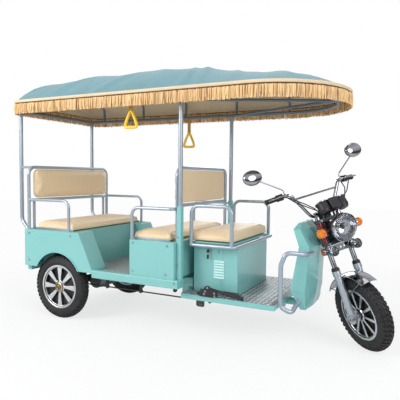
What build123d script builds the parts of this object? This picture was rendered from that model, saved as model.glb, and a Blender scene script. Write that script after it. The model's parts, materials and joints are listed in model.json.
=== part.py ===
from build123d import *
from math import atan2, cos, radians, sin, sqrt
import os

os.makedirs("parts", exist_ok=True)

# An electric auto rickshaw: two facing benches and a driver's seat under one
# canopy, a motorcycle fork in front and a live axle behind.
# Millimetres. +X is forward, +Y is the vehicle's left, +Z is up.
# The X values below are counted from the rear axle; everything is moved by
# ORIGIN_X at the end, so that the finished model is centred on its own box.

# ------------------------------------------------------------------ wheels
WHEEL_R = 248.0            # outside radius of the tyre
TYRE_W = 94.0              # width of the tyre
RIM_R = 158.0              # bead seat of a 12-inch rim
RIM_FLANGE_R = 166.0
RIM_W = 74.0
RIM_WALL = 6.0
SIDEWALL_IN = 3.5          # the sidewall's hollow, and its height over the bead
SIDEWALL_UP = 12.0
HUB_R = 34.0
REAR_HUB_HALF = 38.0
WEB_IN = 4.0               # inner face of the cast web, from the wheel's middle
WEB_OUT = 28.0             # outer face of the web
WINDOW_INSET = 12.0        # from the hub and the barrel to the openings between spokes
WINDOW_R = 6.0
REAR_TRACK = 860.0
REAR_SPOKES = 8
REAR_SPOKE_W = (18.0, 36.0)        # width at the hub and at the barrel
FRONT_SPOKES = 10
FRONT_SPOKE_W = (13.0, 18.0)
DRUM_R = 84.0              # rear brake drums, behind the web
DRUM_REACH = 57.0
SEAT_GAP = 0.3             # space between curved faces that only rest together
RUN_GAP = 0.05             # radial clearance of a turning fit

# ---------------------------------------------------------------- steering
RAKE = 21.0                # slope of the steering axis, degrees
STEER_AT_REST = 45.0       # the vehicle is parked with its front wheel turned right
STEER_FOOT_X = 2119.0      # where the steering axis passes the wheel's height
FORK_OFFSET = 60.0         # wheel centre ahead of the steering axis
LEG_SPREAD = 83.0          # fork leg to the centre plane
LEG_D = 46.0
STANCHION_D = 33.0
STEM_D = 34.0
BAR_D = 22.0
BAR_BEND = (20.0, 195.0, 846.0)
BAR_END = (-40.0, 352.0, 842.0)
BAR_FOOT_Y = 80.0
BAR_FOOT_Z = 658.0
BAR_BRACE = (15.0, 168.0, 804.0)
BRACE_D = 14.0
RISER_RUN = 16.0
FRONT_AXLE_D = 14.0
AXLE_NUT_D = 26.0
AXLE_NUT_T = 12.0
FRONT_HUB_HALF = 44.0
HEAD_TUBE_D = 58.0
HEAD_CUP_H = 16.0          # bearing cups at the ends of the head tube
HEAD_CUP_T = 8.0
HEAD_LOW = 474.0           # along the steering axis from STEER_FOOT
HEAD_HIGH = 604.0
CLAMP_T = 24.0
CLAMP_GAP = 1.0            # bearing gap between head tube and clamps
CLAMP_WALL = 11.5
CLAMP_R = 3.0
LEG_FOOT = -62.0
LEG_TOP = 288.0
LEG_SOCKET = 62.0
COLLAR_H = 40.0            # dust collars
COLLAR_T = 4.0
STANCHION_TOP = 650.0

# controls and lamps, in the steering axis's own frame
GRIP_SHARE = 0.26          # shares of the bar's outer run
LEVER_SHARE = 0.06
MIRROR_SHARE = 0.18
GRIP_D = 34.0
SWITCH_D = 46.0
LEVER_PERCH = 22.0
LEVER_REACH = 48.0
BLADE_D = 10.0
MIRROR_AT = (4.0, 404.0, 1018.0)
MIRROR_OVAL = (66.0, 50.0)
MIRROR_RIM = 8.0
MIRROR_DEPTH = 20.0
MIRROR_STEM_D = 9.0
MIRROR_STEM_UP = 40.0
LAMP_AT = (198.0, 533.0)   # headlight: x, z
LAMP_R = 92.0
LAMP_DEPTH = 105.0
LAMP_BEZEL = 22.0
LAMP_DOME = 14.0
LAMP_NECK_R = 24.0
LAMP_PIN_D = 20.0
EAR_IN = 8.0               # lamp ears, from the stanchion's centre outwards
EAR_T = 6.0
EAR_R = 30.0
TURN_LAMP_AT = (140.0, 540.0)
TURN_LAMP_R = 28.0
TURN_LAMP_H = 60.0
STALK_D = 14.0
BRACKET_HALF_W = 117.0     # bracket under the headlight
BRACKET_LOW = 398.0
BRACKET_HIGH = 446.0
BRACKET_HOLE_D = 14.0
REFLECTOR_D = 46.0
REFLECTOR_T = 8.0
SPOT_Y = 90.0
SPOT_Z = 413.0
SPOT_D = 64.0
SPOT_FACE_X = 140.0
GAUGE_AT = (150.0, 68.0, 690.0)
GAUGE_R = 42.0
GAUGE_H = 76.0
GAUGE_TILT = 20.0
GAUGE_ARM_X = 34.0
CABLE_D = 7.0
# where each cable ends on the clamp, its route from the control, and its bends
CABLE_RUNS = [
    (64.0, -50.0, [(23.0, -260.0, 843.0), (72.0, -238.0, 822.0), (112.0, -165.0, 752.0), (92.0, -98.0, 708.0)],
     [60.0, 50.0, 40.0, 25.0]),
    (76.0, -34.0, [(16.0, -216.0, 830.0), (62.0, -196.0, 780.0), (120.0, -120.0, 700.0)], [50.0, 50.0, 25.0]),
]

# -------------------------------------------------------------- front guard
GUARD_FRONT = 48.0         # degrees over the steering frame's X, round the wheel
GUARD_REAR = 140.0
GUARD_GAP = 24.0           # over the tyre's crown
GUARD_CROWN = 11.0
GUARD_T = 2.5
GUARD_BEAD = 6.0
GUARD_STAY_D = 6.0
GUARD_STAY_Z = 125.0       # from the wheel's centre
GUARD_STAY_IN = 6.0        # degrees from the guard's ends
STRAP_RUN = 30.0

# --------------------------------------------------------------------- body
SHEET = 3.0                # pressed body panels
TUB_HALF_W = 492.0
TUB_REAR = -330.0
TUB_BOTTOM = 391.0
TUB_TOP = 678.0
TUB_FRONT_TOP = 214.0      # where the side panel starts to slope down
TUB_FRONT_LOW = 339.0
FOLD_R = 6.0               # outside radius where a sheet is folded
LIP_W = 9.0                # rolled lip round the wheel arch
LIP_H = 5.0
HOUSING_W = 160.0          # wheel housing at each side of the tub
RISER_X = 150.0            # panel under the rear cushion
ARCH_R = 230.0
ARCH_X = 4.0
ARCH_Z = 285.0
SILL_TOP = 414.0
SILL_H = 57.0
SILL_T = 30.0
DECK_T = 4.0
BOX_REAR = 662.0           # bench box in the middle
BOX_FRONT = 1021.0
BOX_TOP = 663.0
BOX_HALF_W = TUB_HALF_W - 12.0
FRONT_FLOOR_REAR = BOX_FRONT + 9.0
FRONT_FLOOR_FRONT = FRONT_FLOOR_REAR + 660.0
FRONT_FLOOR_HALF_W = 400.0
FRONT_FLOOR_TOP = 312.0
FRONT_FLOOR_LIP = 34.0
DRIVER_BOX_REAR = FRONT_FLOOR_REAR + 47.0
DRIVER_BOX_FRONT = DRIVER_BOX_REAR + 326.0
DRIVER_BOX_HALF_W = 300.0
DRIVER_BOX_TOP = 632.0
LOUVRES = 7
LOUVRE_L = 76.0
LOUVRE_D = 6.0
LOUVRE_H = 13.0
LOUVRE_WALL = 1.4
LOUVRE_PITCH = 18.0
LOUVRE_LOW = 418.0
LOUVRE_AHEAD = 30.0        # from the middle of the box
LOCK_AHEAD = 20.0
LOCK_Z = 602.0
LOCK_R = 11.0
LOCK_H = 8.0
BATTERY_INSET = 30.0
BATTERY_H = 245.0
TAIL_LAMP_Y = 330.0
TAIL_LAMP_Z = 560.0
TAIL_LAMP_W = 104.0
TAIL_LAMP_H = 64.0
TAIL_LAMP_R = 18.0
TAIL_LAMP_BASE = 6.0
TAIL_LAMP_T = 26.0

# --------------------------------------------------------------------- frame
RAIL_W = 40.0
RAIL_H = 60.0
REAR_RAIL_Y = 250.0
FRONT_RAIL_Y = 150.0
CROSS_H = 26.0             # flat cross members under the front floor
STEP_X = BOX_FRONT - 60.0  # cross member where the floor steps down
STEP_T = 50.0
REAR_CROSS_X = (TUB_REAR, TUB_FRONT_LOW, BOX_REAR - 20.0, BOX_FRONT - 50.0)
FRONT_CROSS_X = DRIVER_BOX_REAR + 123.0
PILLAR_RUN = 34.0          # pillar sleeves, front to back
PILLAR_W = 40.0
NECK_REAR = 1500.0
NECK_D = 50.0
NECK_Z = 249.0
NECK_RUN = [(1812.0, NECK_Z), (1862.0, 640.0)]     # lower and upper bend: x, z
CRASH_D = 29.0
CRASH_NECK_Z = (620.0, 420.0)      # where a loop leaves the neck and comes back to it
# a loop's corners at the right side: x, y, z
CRASH_RUN = [(1856.0, -285.0, 628.0), (1742.0, -345.0, 640.0), (1712.0, -350.0, 560.0),
             (1712.0, -350.0, 296.0), (1780.0, -335.0, 262.0)]
CRASH_BENDS = [60.0, 40.0, 50.0, 50.0, 30.0]

# ----------------------------------------------------------------- rear end
STUB_D = 28.0
AXLE_TUBE_R = 30.0
BRAKE_INSET = 63.0         # brake back plate, in from the wheel's middle
BRAKE_PLATE_R = 88.0
PLATE_T = 14.0
GEAR_Y = 70.0
GEAR_W = 70.0
GEAR_R = 82.0
CASE_R = 8.0
MOTOR_X = 128.0
MOTOR_UP = 8.0
MOTOR_R = 66.0
MOTOR_L = 230.0
MOTOR_RIBS = 8
MOTOR_RIB_PITCH = 22.0
LEAVES = (306.0, 224.0, 140.0)     # half lengths, the longest on top
LEAF_W = 50.0
LEAF_T = 8.0
LEAF_RISE = 22.0
LEAF_PAD = 20.0
EYE_R = 12.0
UBOLT_D = 10.0
BRAKE_ROD_Y = -330.0
BRAKE_ROD_Z = 262.0
BRAKE_ROD_D = 10.0
BRAKE_CAM = (58.0, 300.0)  # brake camshaft in the back plate: x, z
LEVER_X = 1150.0           # parking lever's pivot
LEVER_L = 272.0
LEVER_OUT = 26.0           # out from the driver's box
LEVER_PIVOT_H = 22.0
LEVER_D = 14.0

# ------------------------------------------------------------------- canopy
ROOF_REAR = -450.0
ROOF_NOSE_X = 1525.0       # centre of the round front end
ROOF_HALF_W = 530.0
ROOF_EDGE_Z = 1662.0
ROOF_CORNER_R = 110.0
CLOTH_T = 6.0
FRINGE_H = 92.0
FRINGE_T = 6.0
RAIL_Z = 1606.0            # roof side rails
ROOF_RAIL_Y = 430.0
POST_D = 30.0
REAR_POST_X = -424.0
POST_KNEE = (745.0, 650.0)         # heights where a rear post bends in to the tub
POST_FOOT_Z = 560.0
SLEEVE_TOP = 905.0         # the middle posts stand in the pillar sleeves
POST_Y = 428.0
BOW_X = (-270.0, 170.0, 610.0, 1080.0, 1525.0)
BOW_D = 20.0
BOW_KNEE_R = 80.0
# the roof's crown over its edge: x, rise
ROOF_CROWN = [(ROOF_REAR + ROOF_CORNER_R, 200.0), (0.0, 238.0), (900.0, 240.0), (1100.0, 216.0),
              (1345.0, 176.0), (ROOF_NOSE_X, 144.0)]
# the rounded rear end: turn round the corner in degrees, rise
ROOF_TAIL = [(0.0, 4.0), (30.0, 72.0), (60.0, 150.0)]

# -------------------------------------------------------------------- seats
TUBE_D = 25.0
ARM_D = 22.0
BENCH_HALF_W = TUB_HALF_W - TUBE_D / 2      # the seat tubes stand flush with the body
SEAT_INSET = 40.0          # cushion edge to the seat tube's centre line
BACK_INSET = 20.0          # back pad edge to the hoop's centre line
CUSHION_T = 56.0
CUSHION_R = 24.0
BACK_R = 40.0
HOOP_R = 60.0
ARM_R = 55.0
RAIL_R = 30.0
ARM_Z = 909.0
MIDDLE_ARM_Z = 885.0
REAR_ARM_X = 115.0
ARM_INSET = 14.0
BOARD_T = 10.0
BOARD_INSET = 20.0
BACK_TOP_Z = 1162.0
BACK_LOW_Z = 905.0
REAR_BACK_X = -290.0
MIDDLE_BACK_X = BOX_FRONT - 21.0
MIDDLE_HALF_W = 400.0
DRIVER_SEAT_HALF_W = 372.0
HAND_STRAP_X = 640.0
HAND_STRAPS = [(-1, 1424.0), (1, 1342.0)]      # side, lowest point
STRAP_H = 118.0
STRAP_HALF_W = 54.0
STRAP_TIP = 12.0
STRAP_D = 14.0
BELT_W = 18.0
BELT_T = 4.0


# ------------------------------------------------------------ small helpers
def block(x0, x1, y0, y1, z0, z1):
    """A plain block between two corners."""
    centre = ((x0 + x1) / 2, (y0 + y1) / 2, (z0 + z1) / 2)
    return Pos(*centre) * Box(abs(x1 - x0), abs(y1 - y0), abs(z1 - z0))


def rod(start, end, diameter):
    """A straight round bar from one point to another."""
    line = Line(start, end)
    plane = Plane(origin=start, z_dir=line % 0)
    return extrude(plane * Circle(diameter / 2), amount=line.length)


def bent_rod(points, diameter, bends):
    """A round bar along straight runs that tangent arcs join."""
    path = FilletPolyline(*points, radius=bends)
    plane = Plane(origin=path @ 0, z_dir=path % 0)
    return sweep(plane * Circle(diameter / 2), path=path)


def both_sides(shape):
    """A piece of the right side together with its mirror image."""
    return [shape, mirror(shape, about=Plane.XZ)]


def side_profile(points, half_width):
    """A side-view outline in X and Z, as wide as the body."""
    outline = Plane.XZ * make_face(Polyline(*points, close=True))
    return extrude(outline, amount=half_width, both=True)


def case_plate(y, width, *rounds):
    """A plate square to Y round several circles given as x, z, radius."""
    outline = make_hull([edge for x, z, radius in rounds for edge in (Pos(x, z) * Circle(radius)).edges()])
    return extrude(Plane.XZ.offset(-y - width / 2) * outline, amount=width)


def between(start, end, share):
    """A point a given share of the way from start to end."""
    return tuple(a + (b - a) * share for a, b in zip(start, end))


# The turned, cambered front tyre touches the floor at the rear tyres' height.
CROWN_R = TYRE_W / 2
AXIS_Z = sin(radians(STEER_AT_REST)) * sin(radians(RAKE))
FRONT_AXLE_Z = (WHEEL_R - CROWN_R) * sqrt(1 - AXIS_Z ** 2) + CROWN_R
AXLE_UP = -23.0            # front axle along the steering axis
STEER_FOOT_Z = (FRONT_AXLE_Z - AXLE_UP * cos(radians(RAKE))
                - FORK_OFFSET * cos(radians(STEER_AT_REST)) * sin(radians(RAKE)))


def steering_frame():
    """Local X forward, Y left, Z up the steering axis, at the parked angle."""
    lean = radians(RAKE)
    base = Plane(origin=(STEER_FOOT_X, 0, STEER_FOOT_Z),
                 x_dir=(cos(lean), 0, sin(lean)), z_dir=(-sin(lean), 0, cos(lean)))
    return base.location * Rot(0, 0, -STEER_AT_REST)


# ---------------------------------------------------------------- rear body
def rear_tub():
    """Pressed rear body: outer skin, two wheel housings, a riser between them."""
    outline = [(TUB_REAR, TUB_BOTTOM), (TUB_REAR, TUB_TOP), (TUB_FRONT_TOP, TUB_TOP),
               (TUB_FRONT_LOW, SILL_TOP), (TUB_FRONT_LOW, TUB_BOTTOM)]
    body = side_profile(outline, TUB_HALF_W)
    folds = [edge for face in body.faces().filter_by(Axis.Y) for edge in face.edges()
             if edge.center().Z > TUB_BOTTOM + 1]
    folds += body.edges().filter_by(Axis.Y).group_by(Axis.Z)[-1]
    body = fillet(folds, FOLD_R)
    inner_half = TUB_HALF_W - HOUSING_W
    # the foot room ahead of the riser, open to the front
    body -= block(RISER_X, TUB_FRONT_LOW + 1, -inner_half, inner_half,
                  TUB_BOTTOM - 1, TUB_TOP + 1)
    # each wheel housing is an open-bottomed shell one sheet thick
    slope = (TUB_FRONT_LOW - TUB_FRONT_TOP) / (TUB_TOP - SILL_TOP)
    lean = SHEET * sqrt(1 + slope ** 2)
    hollow = [(TUB_REAR + SHEET, TUB_BOTTOM - 1), (TUB_REAR + SHEET, TUB_TOP - SHEET),
              (TUB_FRONT_TOP - lean, TUB_TOP - SHEET), (TUB_FRONT_LOW - lean, SILL_TOP),
              (TUB_FRONT_LOW - lean, TUB_BOTTOM - 1)]
    housing = side_profile(hollow, (HOUSING_W - 2 * SHEET) / 2)
    for side in (-1, 1):
        body -= Pos(0, side * (TUB_HALF_W - HOUSING_W / 2), 0) * housing
    # under the rear bench
    body -= block(TUB_REAR + SHEET, RISER_X - SHEET, -(inner_half - SHEET),
                  inner_half - SHEET, TUB_BOTTOM - 1, TUB_TOP - SHEET)
    # wheel arches in the outer skin only, each with a rolled lip
    arch = Pos(ARCH_X, 0, ARCH_Z) * Rot(90, 0, 0) * Cylinder(ARCH_R, 3 * TUB_HALF_W)
    skin = block(TUB_REAR, TUB_FRONT_LOW, -TUB_HALF_W - 1, -TUB_HALF_W + SHEET + 1, 0, TUB_TOP)
    for cut in both_sides(skin):
        body -= cut & arch
    ring = Plane(origin=(ARCH_X, -TUB_HALF_W + 1, ARCH_Z), z_dir=(0, -1, 0))
    ring *= Circle(ARCH_R + LIP_W) - Circle(ARCH_R)
    above = block(TUB_REAR, TUB_FRONT_LOW, -2 * TUB_HALF_W, 2 * TUB_HALF_W, TUB_BOTTOM, TUB_TOP)
    for lip in both_sides(extrude(ring, amount=LIP_H + 1) & above):
        body += lip
    return body


def tail_lamps():
    """Round-cornered lamps on the rear panel, inside the posts."""
    face = Plane(origin=(TUB_REAR - SEAT_GAP, -TAIL_LAMP_Y, TAIL_LAMP_Z), x_dir=(0, 1, 0), z_dir=(-1, 0, 0))
    base = extrude(face * RectangleRounded(TAIL_LAMP_W, TAIL_LAMP_H, TAIL_LAMP_R), amount=TAIL_LAMP_BASE)
    lens = face.offset(TAIL_LAMP_BASE - 1)
    lens *= RectangleRounded(TAIL_LAMP_W - TAIL_LAMP_BASE, TAIL_LAMP_H - TAIL_LAMP_BASE, TAIL_LAMP_R - 2)
    lens = extrude(lens, amount=TAIL_LAMP_T - TAIL_LAMP_BASE + 1, taper=20)
    return both_sides(base + lens)


def sills():
    """Side sills from the tub to the middle pillars, with the pillar sleeves."""
    length = block(TUB_FRONT_LOW + SEAT_GAP, BOX_FRONT + PILLAR_RUN, -TUB_HALF_W, -TUB_HALF_W + SILL_T,
                   SILL_TOP - SILL_H, SILL_TOP)
    length = fillet(length.edges().filter_by(Axis.X).group_by(Axis.Y)[0], FOLD_R)
    pillar = block(BOX_FRONT + SEAT_GAP, BOX_FRONT + PILLAR_RUN, -POST_Y - PILLAR_W / 2, -POST_Y + PILLAR_W / 2,
                   SILL_TOP - 1, SLEEVE_TOP)
    pillar = fillet(pillar.edges().filter_by(Axis.Z), FOLD_R)
    web = block(BOX_FRONT + SEAT_GAP, BOX_FRONT + PILLAR_RUN, -TUB_HALF_W + SILL_T - 1, -POST_Y + PILLAR_W / 2,
                SILL_TOP - SILL_H, SILL_TOP)
    return both_sides(length + web + pillar)


def floor_decks():
    """Rear foot well and the driver's floor, with its turned-down lip."""
    rear = block(RISER_X + SEAT_GAP, BOX_REAR - SEAT_GAP, -(TUB_HALF_W - HOUSING_W) + 1,
                 TUB_HALF_W - HOUSING_W - 1, TUB_BOTTOM, TUB_BOTTOM + DECK_T)
    rear += block(TUB_FRONT_LOW + SEAT_GAP, BOX_REAR - SEAT_GAP, -TUB_HALF_W + SILL_T + SEAT_GAP,
                  TUB_HALF_W - SILL_T - SEAT_GAP, TUB_BOTTOM, TUB_BOTTOM + DECK_T)
    front = block(FRONT_FLOOR_REAR, FRONT_FLOOR_FRONT, -FRONT_FLOOR_HALF_W, FRONT_FLOOR_HALF_W,
                  FRONT_FLOOR_TOP - FRONT_FLOOR_LIP, FRONT_FLOOR_TOP)
    front = fillet(front.edges().filter_by(Axis.Z), FOLD_R)
    tray = block(FRONT_FLOOR_REAR - FOLD_R, FRONT_FLOOR_FRONT - DECK_T, -FRONT_FLOOR_HALF_W + DECK_T,
                 FRONT_FLOOR_HALF_W - DECK_T, FRONT_FLOOR_TOP - FRONT_FLOOR_LIP - 1, FRONT_FLOOR_TOP - DECK_T)
    front -= fillet(tray.edges().filter_by(Axis.Z).group_by(Axis.X)[-1], FOLD_R - DECK_T)
    return [rear, front]


def middle_seat_box():
    """Open-bottomed box under the middle bench."""
    box = block(BOX_REAR, BOX_FRONT, -BOX_HALF_W, BOX_HALF_W, SILL_TOP, BOX_TOP)
    box = fillet(box.edges().filter_by(Axis.Z), FOLD_R)
    box -= block(BOX_REAR + SHEET, BOX_FRONT - SHEET, -BOX_HALF_W + SHEET, BOX_HALF_W - SHEET,
                 SILL_TOP - 1, BOX_TOP - SHEET)
    return box


def louvre_wedge(length, depth, height, behind):
    """A wedge that grows downwards from a wall at Y 0, and reaches some way behind it."""
    profile = Polyline((behind, 0), (-depth, 0), (0, height), (behind, height), close=True)
    return extrude(Plane.YZ * make_face(profile), amount=length / 2, both=True)


def driver_box():
    """Battery box under the driver, with pressed louvres and a lock in its right side."""
    box = block(DRIVER_BOX_REAR, DRIVER_BOX_FRONT, -DRIVER_BOX_HALF_W, DRIVER_BOX_HALF_W,
                FRONT_FLOOR_TOP, DRIVER_BOX_TOP)
    box = fillet(box.edges().filter_by(Axis.Z), FOLD_R)
    box -= block(DRIVER_BOX_REAR + SHEET, DRIVER_BOX_FRONT - SHEET, -DRIVER_BOX_HALF_W + SHEET,
                 DRIVER_BOX_HALF_W - SHEET, FRONT_FLOOR_TOP + SHEET, DRIVER_BOX_TOP + 1)
    middle = (DRIVER_BOX_REAR + DRIVER_BOX_FRONT) / 2
    hood = louvre_wedge(LOUVRE_L, LOUVRE_D, LOUVRE_H, SHEET / 2)
    inner_h = LOUVRE_H * (1 - LOUVRE_WALL / LOUVRE_D)
    throat = louvre_wedge(LOUVRE_L - 2 * LOUVRE_WALL, LOUVRE_D - LOUVRE_WALL, inner_h, SHEET + 1)
    for row in range(LOUVRES):
        place = Pos(middle + LOUVRE_AHEAD, -DRIVER_BOX_HALF_W, LOUVRE_LOW + LOUVRE_PITCH * row)
        box += place * hood
        box -= place * Pos(0, 0, -0.5) * throat
    lock = Pos(middle + LOCK_AHEAD, -DRIVER_BOX_HALF_W - LOCK_H / 2, LOCK_Z) * Rot(90, 0, 0)
    return box + lock * Cylinder(LOCK_R, LOCK_H)


def battery():
    """The battery pack, one plain block."""
    return block(DRIVER_BOX_REAR + BATTERY_INSET, DRIVER_BOX_FRONT - BATTERY_INSET,
                 -DRIVER_BOX_HALF_W + BATTERY_INSET, DRIVER_BOX_HALF_W - BATTERY_INSET,
                 FRONT_FLOOR_TOP + SHEET, FRONT_FLOOR_TOP + SHEET + BATTERY_H)


# -------------------------------------------------------------------- frame
def steer_point(along):
    """A point of the steering axis, in the vehicle's own X and Z."""
    lean = radians(RAKE)
    return (STEER_FOOT_X - along * sin(lean), 0, STEER_FOOT_Z + along * cos(lean))


def neck_x(z):
    """Where the steep run of the neck is at a height."""
    (x0, z0), (x1, z1) = NECK_RUN
    return x0 + (x1 - x0) * (z - z0) / (z1 - z0)


def neck(diameter):
    """The backbone from under the floor up to the head tube."""
    top = steer_point((HEAD_LOW + HEAD_HIGH) / 2)
    (x0, z0), (x1, z1) = NECK_RUN
    return bent_rod([(NECK_REAR, 0, z0), (x0, 0, z0), (x1, 0, z1), top], diameter, [70, 60])


def rear_chassis():
    """Rear rails and cross members, with the step down to the front rails."""
    rail_top = TUB_BOTTOM
    frame = Part()
    for side in (-1, 1):
        y = side * REAR_RAIL_Y
        frame += block(TUB_REAR, BOX_FRONT + PILLAR_RUN, y - RAIL_W / 2, y + RAIL_W / 2,
                       rail_top - RAIL_H, rail_top)
    reach = TUB_HALF_W - SILL_T - 2
    for x in REAR_CROSS_X:
        frame += block(x, x + RAIL_W, -reach, reach, rail_top - RAIL_W, rail_top)
    frame += block(STEP_X, STEP_X + STEP_T, -REAR_RAIL_Y, REAR_RAIL_Y,
                   FRONT_FLOOR_TOP - DECK_T - RAIL_H, rail_top)
    return frame


def front_chassis():
    """Front rails and cross members, the neck and the head tube."""
    floor_low = FRONT_FLOOR_TOP - DECK_T
    rail_end = FRONT_FLOOR_FRONT - DECK_T - SEAT_GAP
    frame = Part()
    for side in (-1, 1):
        y = side * FRONT_RAIL_Y
        frame += block(STEP_X + STEP_T + SEAT_GAP, rail_end, y - RAIL_W / 2, y + RAIL_W / 2,
                       floor_low - RAIL_H, floor_low)
    reach = FRONT_FLOOR_HALF_W - DECK_T - 1
    for x in (FRONT_CROSS_X, NECK_REAR - RAIL_W / 2, rail_end - RAIL_W):
        frame += block(x, x + RAIL_W, -reach, reach, floor_low - CROSS_H, floor_low)
    frame += block(NECK_REAR - RAIL_W / 2, NECK_REAR + RAIL_W / 2, -FRONT_RAIL_Y, FRONT_RAIL_Y,
                   NECK_Z - NECK_D / 5, floor_low)
    frame += neck(NECK_D)
    head = rod(steer_point(HEAD_LOW), steer_point(HEAD_HIGH), HEAD_TUBE_D)
    for low, high in ((HEAD_LOW, HEAD_LOW + HEAD_CUP_H), (HEAD_HIGH - HEAD_CUP_H, HEAD_HIGH)):
        head += rod(steer_point(low), steer_point(high), HEAD_TUBE_D + HEAD_CUP_T)
    bore = rod(steer_point(HEAD_LOW - STEM_D), steer_point(HEAD_HIGH + STEM_D), STEM_D + 2 * RUN_GAP)
    return frame + head - bore


def roof_posts():
    """Rear posts that curve in to the tub, and straight middle posts."""
    top = RAIL_Z - TUBE_D / 2 - SEAT_GAP
    foot_x = TUB_REAR - SEAT_GAP - POST_D / 2
    rear = bent_rod([(REAR_POST_X, -POST_Y, top), (REAR_POST_X, -POST_Y, POST_KNEE[0]),
                     (foot_x, -POST_Y, POST_KNEE[1]), (foot_x, -POST_Y, POST_FOOT_Z)], POST_D, 2 * POST_D)
    x = BOX_FRONT + PILLAR_RUN / 2
    middle = rod((x, -POST_Y, SLEEVE_TOP + SEAT_GAP), (x, -POST_Y, top), POST_D)
    return both_sides(rear) + both_sides(middle)


def roof_arc_z(y, rise):
    """Height of the roof's cross-section, a circular arc over its edges."""
    radius = (ROOF_HALF_W ** 2 + rise ** 2) / (2 * rise)
    return ROOF_EDGE_Z + rise - radius + sqrt(radius ** 2 - y ** 2)


def crown_at(x):
    """Rise of the roof at x, straight between the crown's stations."""
    for (x0, r0), (x1, r1) in zip(ROOF_CROWN, ROOF_CROWN[1:]):
        if x <= x1:
            return r0 + (r1 - r0) * (x - x0) / (x1 - x0)
    return ROOF_CROWN[-1][1]


def roof_rails():
    """Side rails with the round front hoop, and the two struts to its tip."""
    nose = ROOF_NOSE_X + ROOF_RAIL_Y + 10
    rails = bent_rod([(REAR_POST_X, 0, RAIL_Z), (REAR_POST_X, -ROOF_RAIL_Y, RAIL_Z),
                      (nose, -ROOF_RAIL_Y, RAIL_Z), (nose, 0, RAIL_Z)], TUBE_D,
                     [60, ROOF_RAIL_Y - 5])
    strut = rod((BOW_X[-2], -ROOF_RAIL_Y + 5, RAIL_Z), (nose - 20, 0, RAIL_Z), BOW_D)
    frame = rails + strut
    return frame + mirror(frame, about=Plane.XZ)


def roof_bows():
    """The cross bows that carry the cloth."""
    return [bow(x) for x in BOW_X]


def bow(x):
    """A cross bow just under the cloth: legs on the rails, round knees, a long arc."""
    foot = RAIL_Z + TUBE_D / 2 + SEAT_GAP
    rise = crown_at(x)
    roof_radius = (ROOF_HALF_W ** 2 + rise ** 2) / (2 * rise)
    centre_z = ROOF_EDGE_Z + rise - roof_radius
    radius = roof_radius - CLOTH_T - SEAT_GAP - BOW_D / 2
    knee_y = ROOF_RAIL_Y - BOW_KNEE_R
    knee_z = centre_z + sqrt((radius - BOW_KNEE_R) ** 2 - knee_y ** 2)
    slope = atan2(knee_z - centre_z, knee_y)
    half = slope / 2
    join = (radius * cos(slope), centre_z + radius * sin(slope))
    mid = (knee_y + BOW_KNEE_R * cos(half), knee_z + BOW_KNEE_R * sin(half))
    path = Line((x, -ROOF_RAIL_Y, foot), (x, -ROOF_RAIL_Y, knee_z))
    path += ThreePointArc((x, -ROOF_RAIL_Y, knee_z), (x, -mid[0], mid[1]), (x, -join[0], join[1]))
    path += ThreePointArc((x, -join[0], join[1]), (x, 0, centre_z + radius), (x, join[0], join[1]))
    path += ThreePointArc((x, join[0], join[1]), (x, mid[0], mid[1]), (x, ROOF_RAIL_Y, knee_z))
    path += Line((x, ROOF_RAIL_Y, knee_z), (x, ROOF_RAIL_Y, foot))
    section = Plane(origin=(x, -ROOF_RAIL_Y, foot), z_dir=(0, 0, 1)) * Circle(BOW_D / 2)
    return sweep(section, path=path)


# ------------------------------------------------------------------- canopy
def roof_plan(inset=0.0):
    """The roof seen from above: round corners behind, a half circle in front."""
    length = ROOF_NOSE_X - ROOF_REAR
    plan = Pos(ROOF_REAR + length / 2, 0) * Rectangle(length, 2 * ROOF_HALF_W)
    plan += Pos(ROOF_NOSE_X, 0) * Circle(ROOF_HALF_W)
    plan = fillet(plan.vertices().group_by(Axis.X)[0], ROOF_CORNER_R)
    return offset(plan, -inset) if inset else plan


def roof_dome(under):
    """The solid under the cloth's outer or inner surface."""
    def section(x, half, rise):
        edge = ROOF_EDGE_Z - under
        arc = ThreePointArc((x, -half, edge), (x, 0, edge + rise), (x, half, edge))
        return make_face(arc + Line((x, half, edge), (x, -half, edge)))

    stations = []
    for turn, rise in ROOF_TAIL:
        x = ROOF_REAR + ROOF_CORNER_R * (1 - cos(radians(turn)))
        half = ROOF_HALF_W - ROOF_CORNER_R * (1 - sin(radians(turn)))
        stations.append((x, half, rise))
    stations += [(x, ROOF_HALF_W, rise) for x, rise in ROOF_CROWN]
    dome = Part()
    for rear, front in zip(stations, stations[1:]):
        dome += loft([section(*rear), section(*front)], ruled=True)
    rise = ROOF_CROWN[-1][1]
    profile = make_face(
        ThreePointArc((ROOF_NOSE_X, -ROOF_HALF_W, ROOF_EDGE_Z - under),
                      (ROOF_NOSE_X, -ROOF_HALF_W / 2, roof_arc_z(ROOF_HALF_W / 2, rise) - under),
                      (ROOF_NOSE_X, 0, ROOF_EDGE_Z + rise - under))
        + Line((ROOF_NOSE_X, 0, ROOF_EDGE_Z + rise - under), (ROOF_NOSE_X, 0, ROOF_EDGE_Z - under))
        + Line((ROOF_NOSE_X, 0, ROOF_EDGE_Z - under), (ROOF_NOSE_X, -ROOF_HALF_W, ROOF_EDGE_Z - under)))
    nose = revolve(profile, axis=Axis((ROOF_NOSE_X, 0, 0), (0, 0, 1)), revolution_arc=180)
    return dome + nose


def canopy():
    """The cloth roof, one sheet over the bows."""
    shell = roof_dome(0) - roof_dome(CLOTH_T)
    bounds = Pos(0, 0, ROOF_EDGE_Z - CLOTH_T) * extrude(roof_plan(FRINGE_T + SEAT_GAP), amount=400)
    return shell & bounds


def fringe():
    """The hanging edge band, all round the roof."""
    band = roof_plan() - roof_plan(FRINGE_T)
    return Pos(0, 0, ROOF_EDGE_Z - FRINGE_H) * extrude(band, amount=FRINGE_H + 4)


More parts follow.
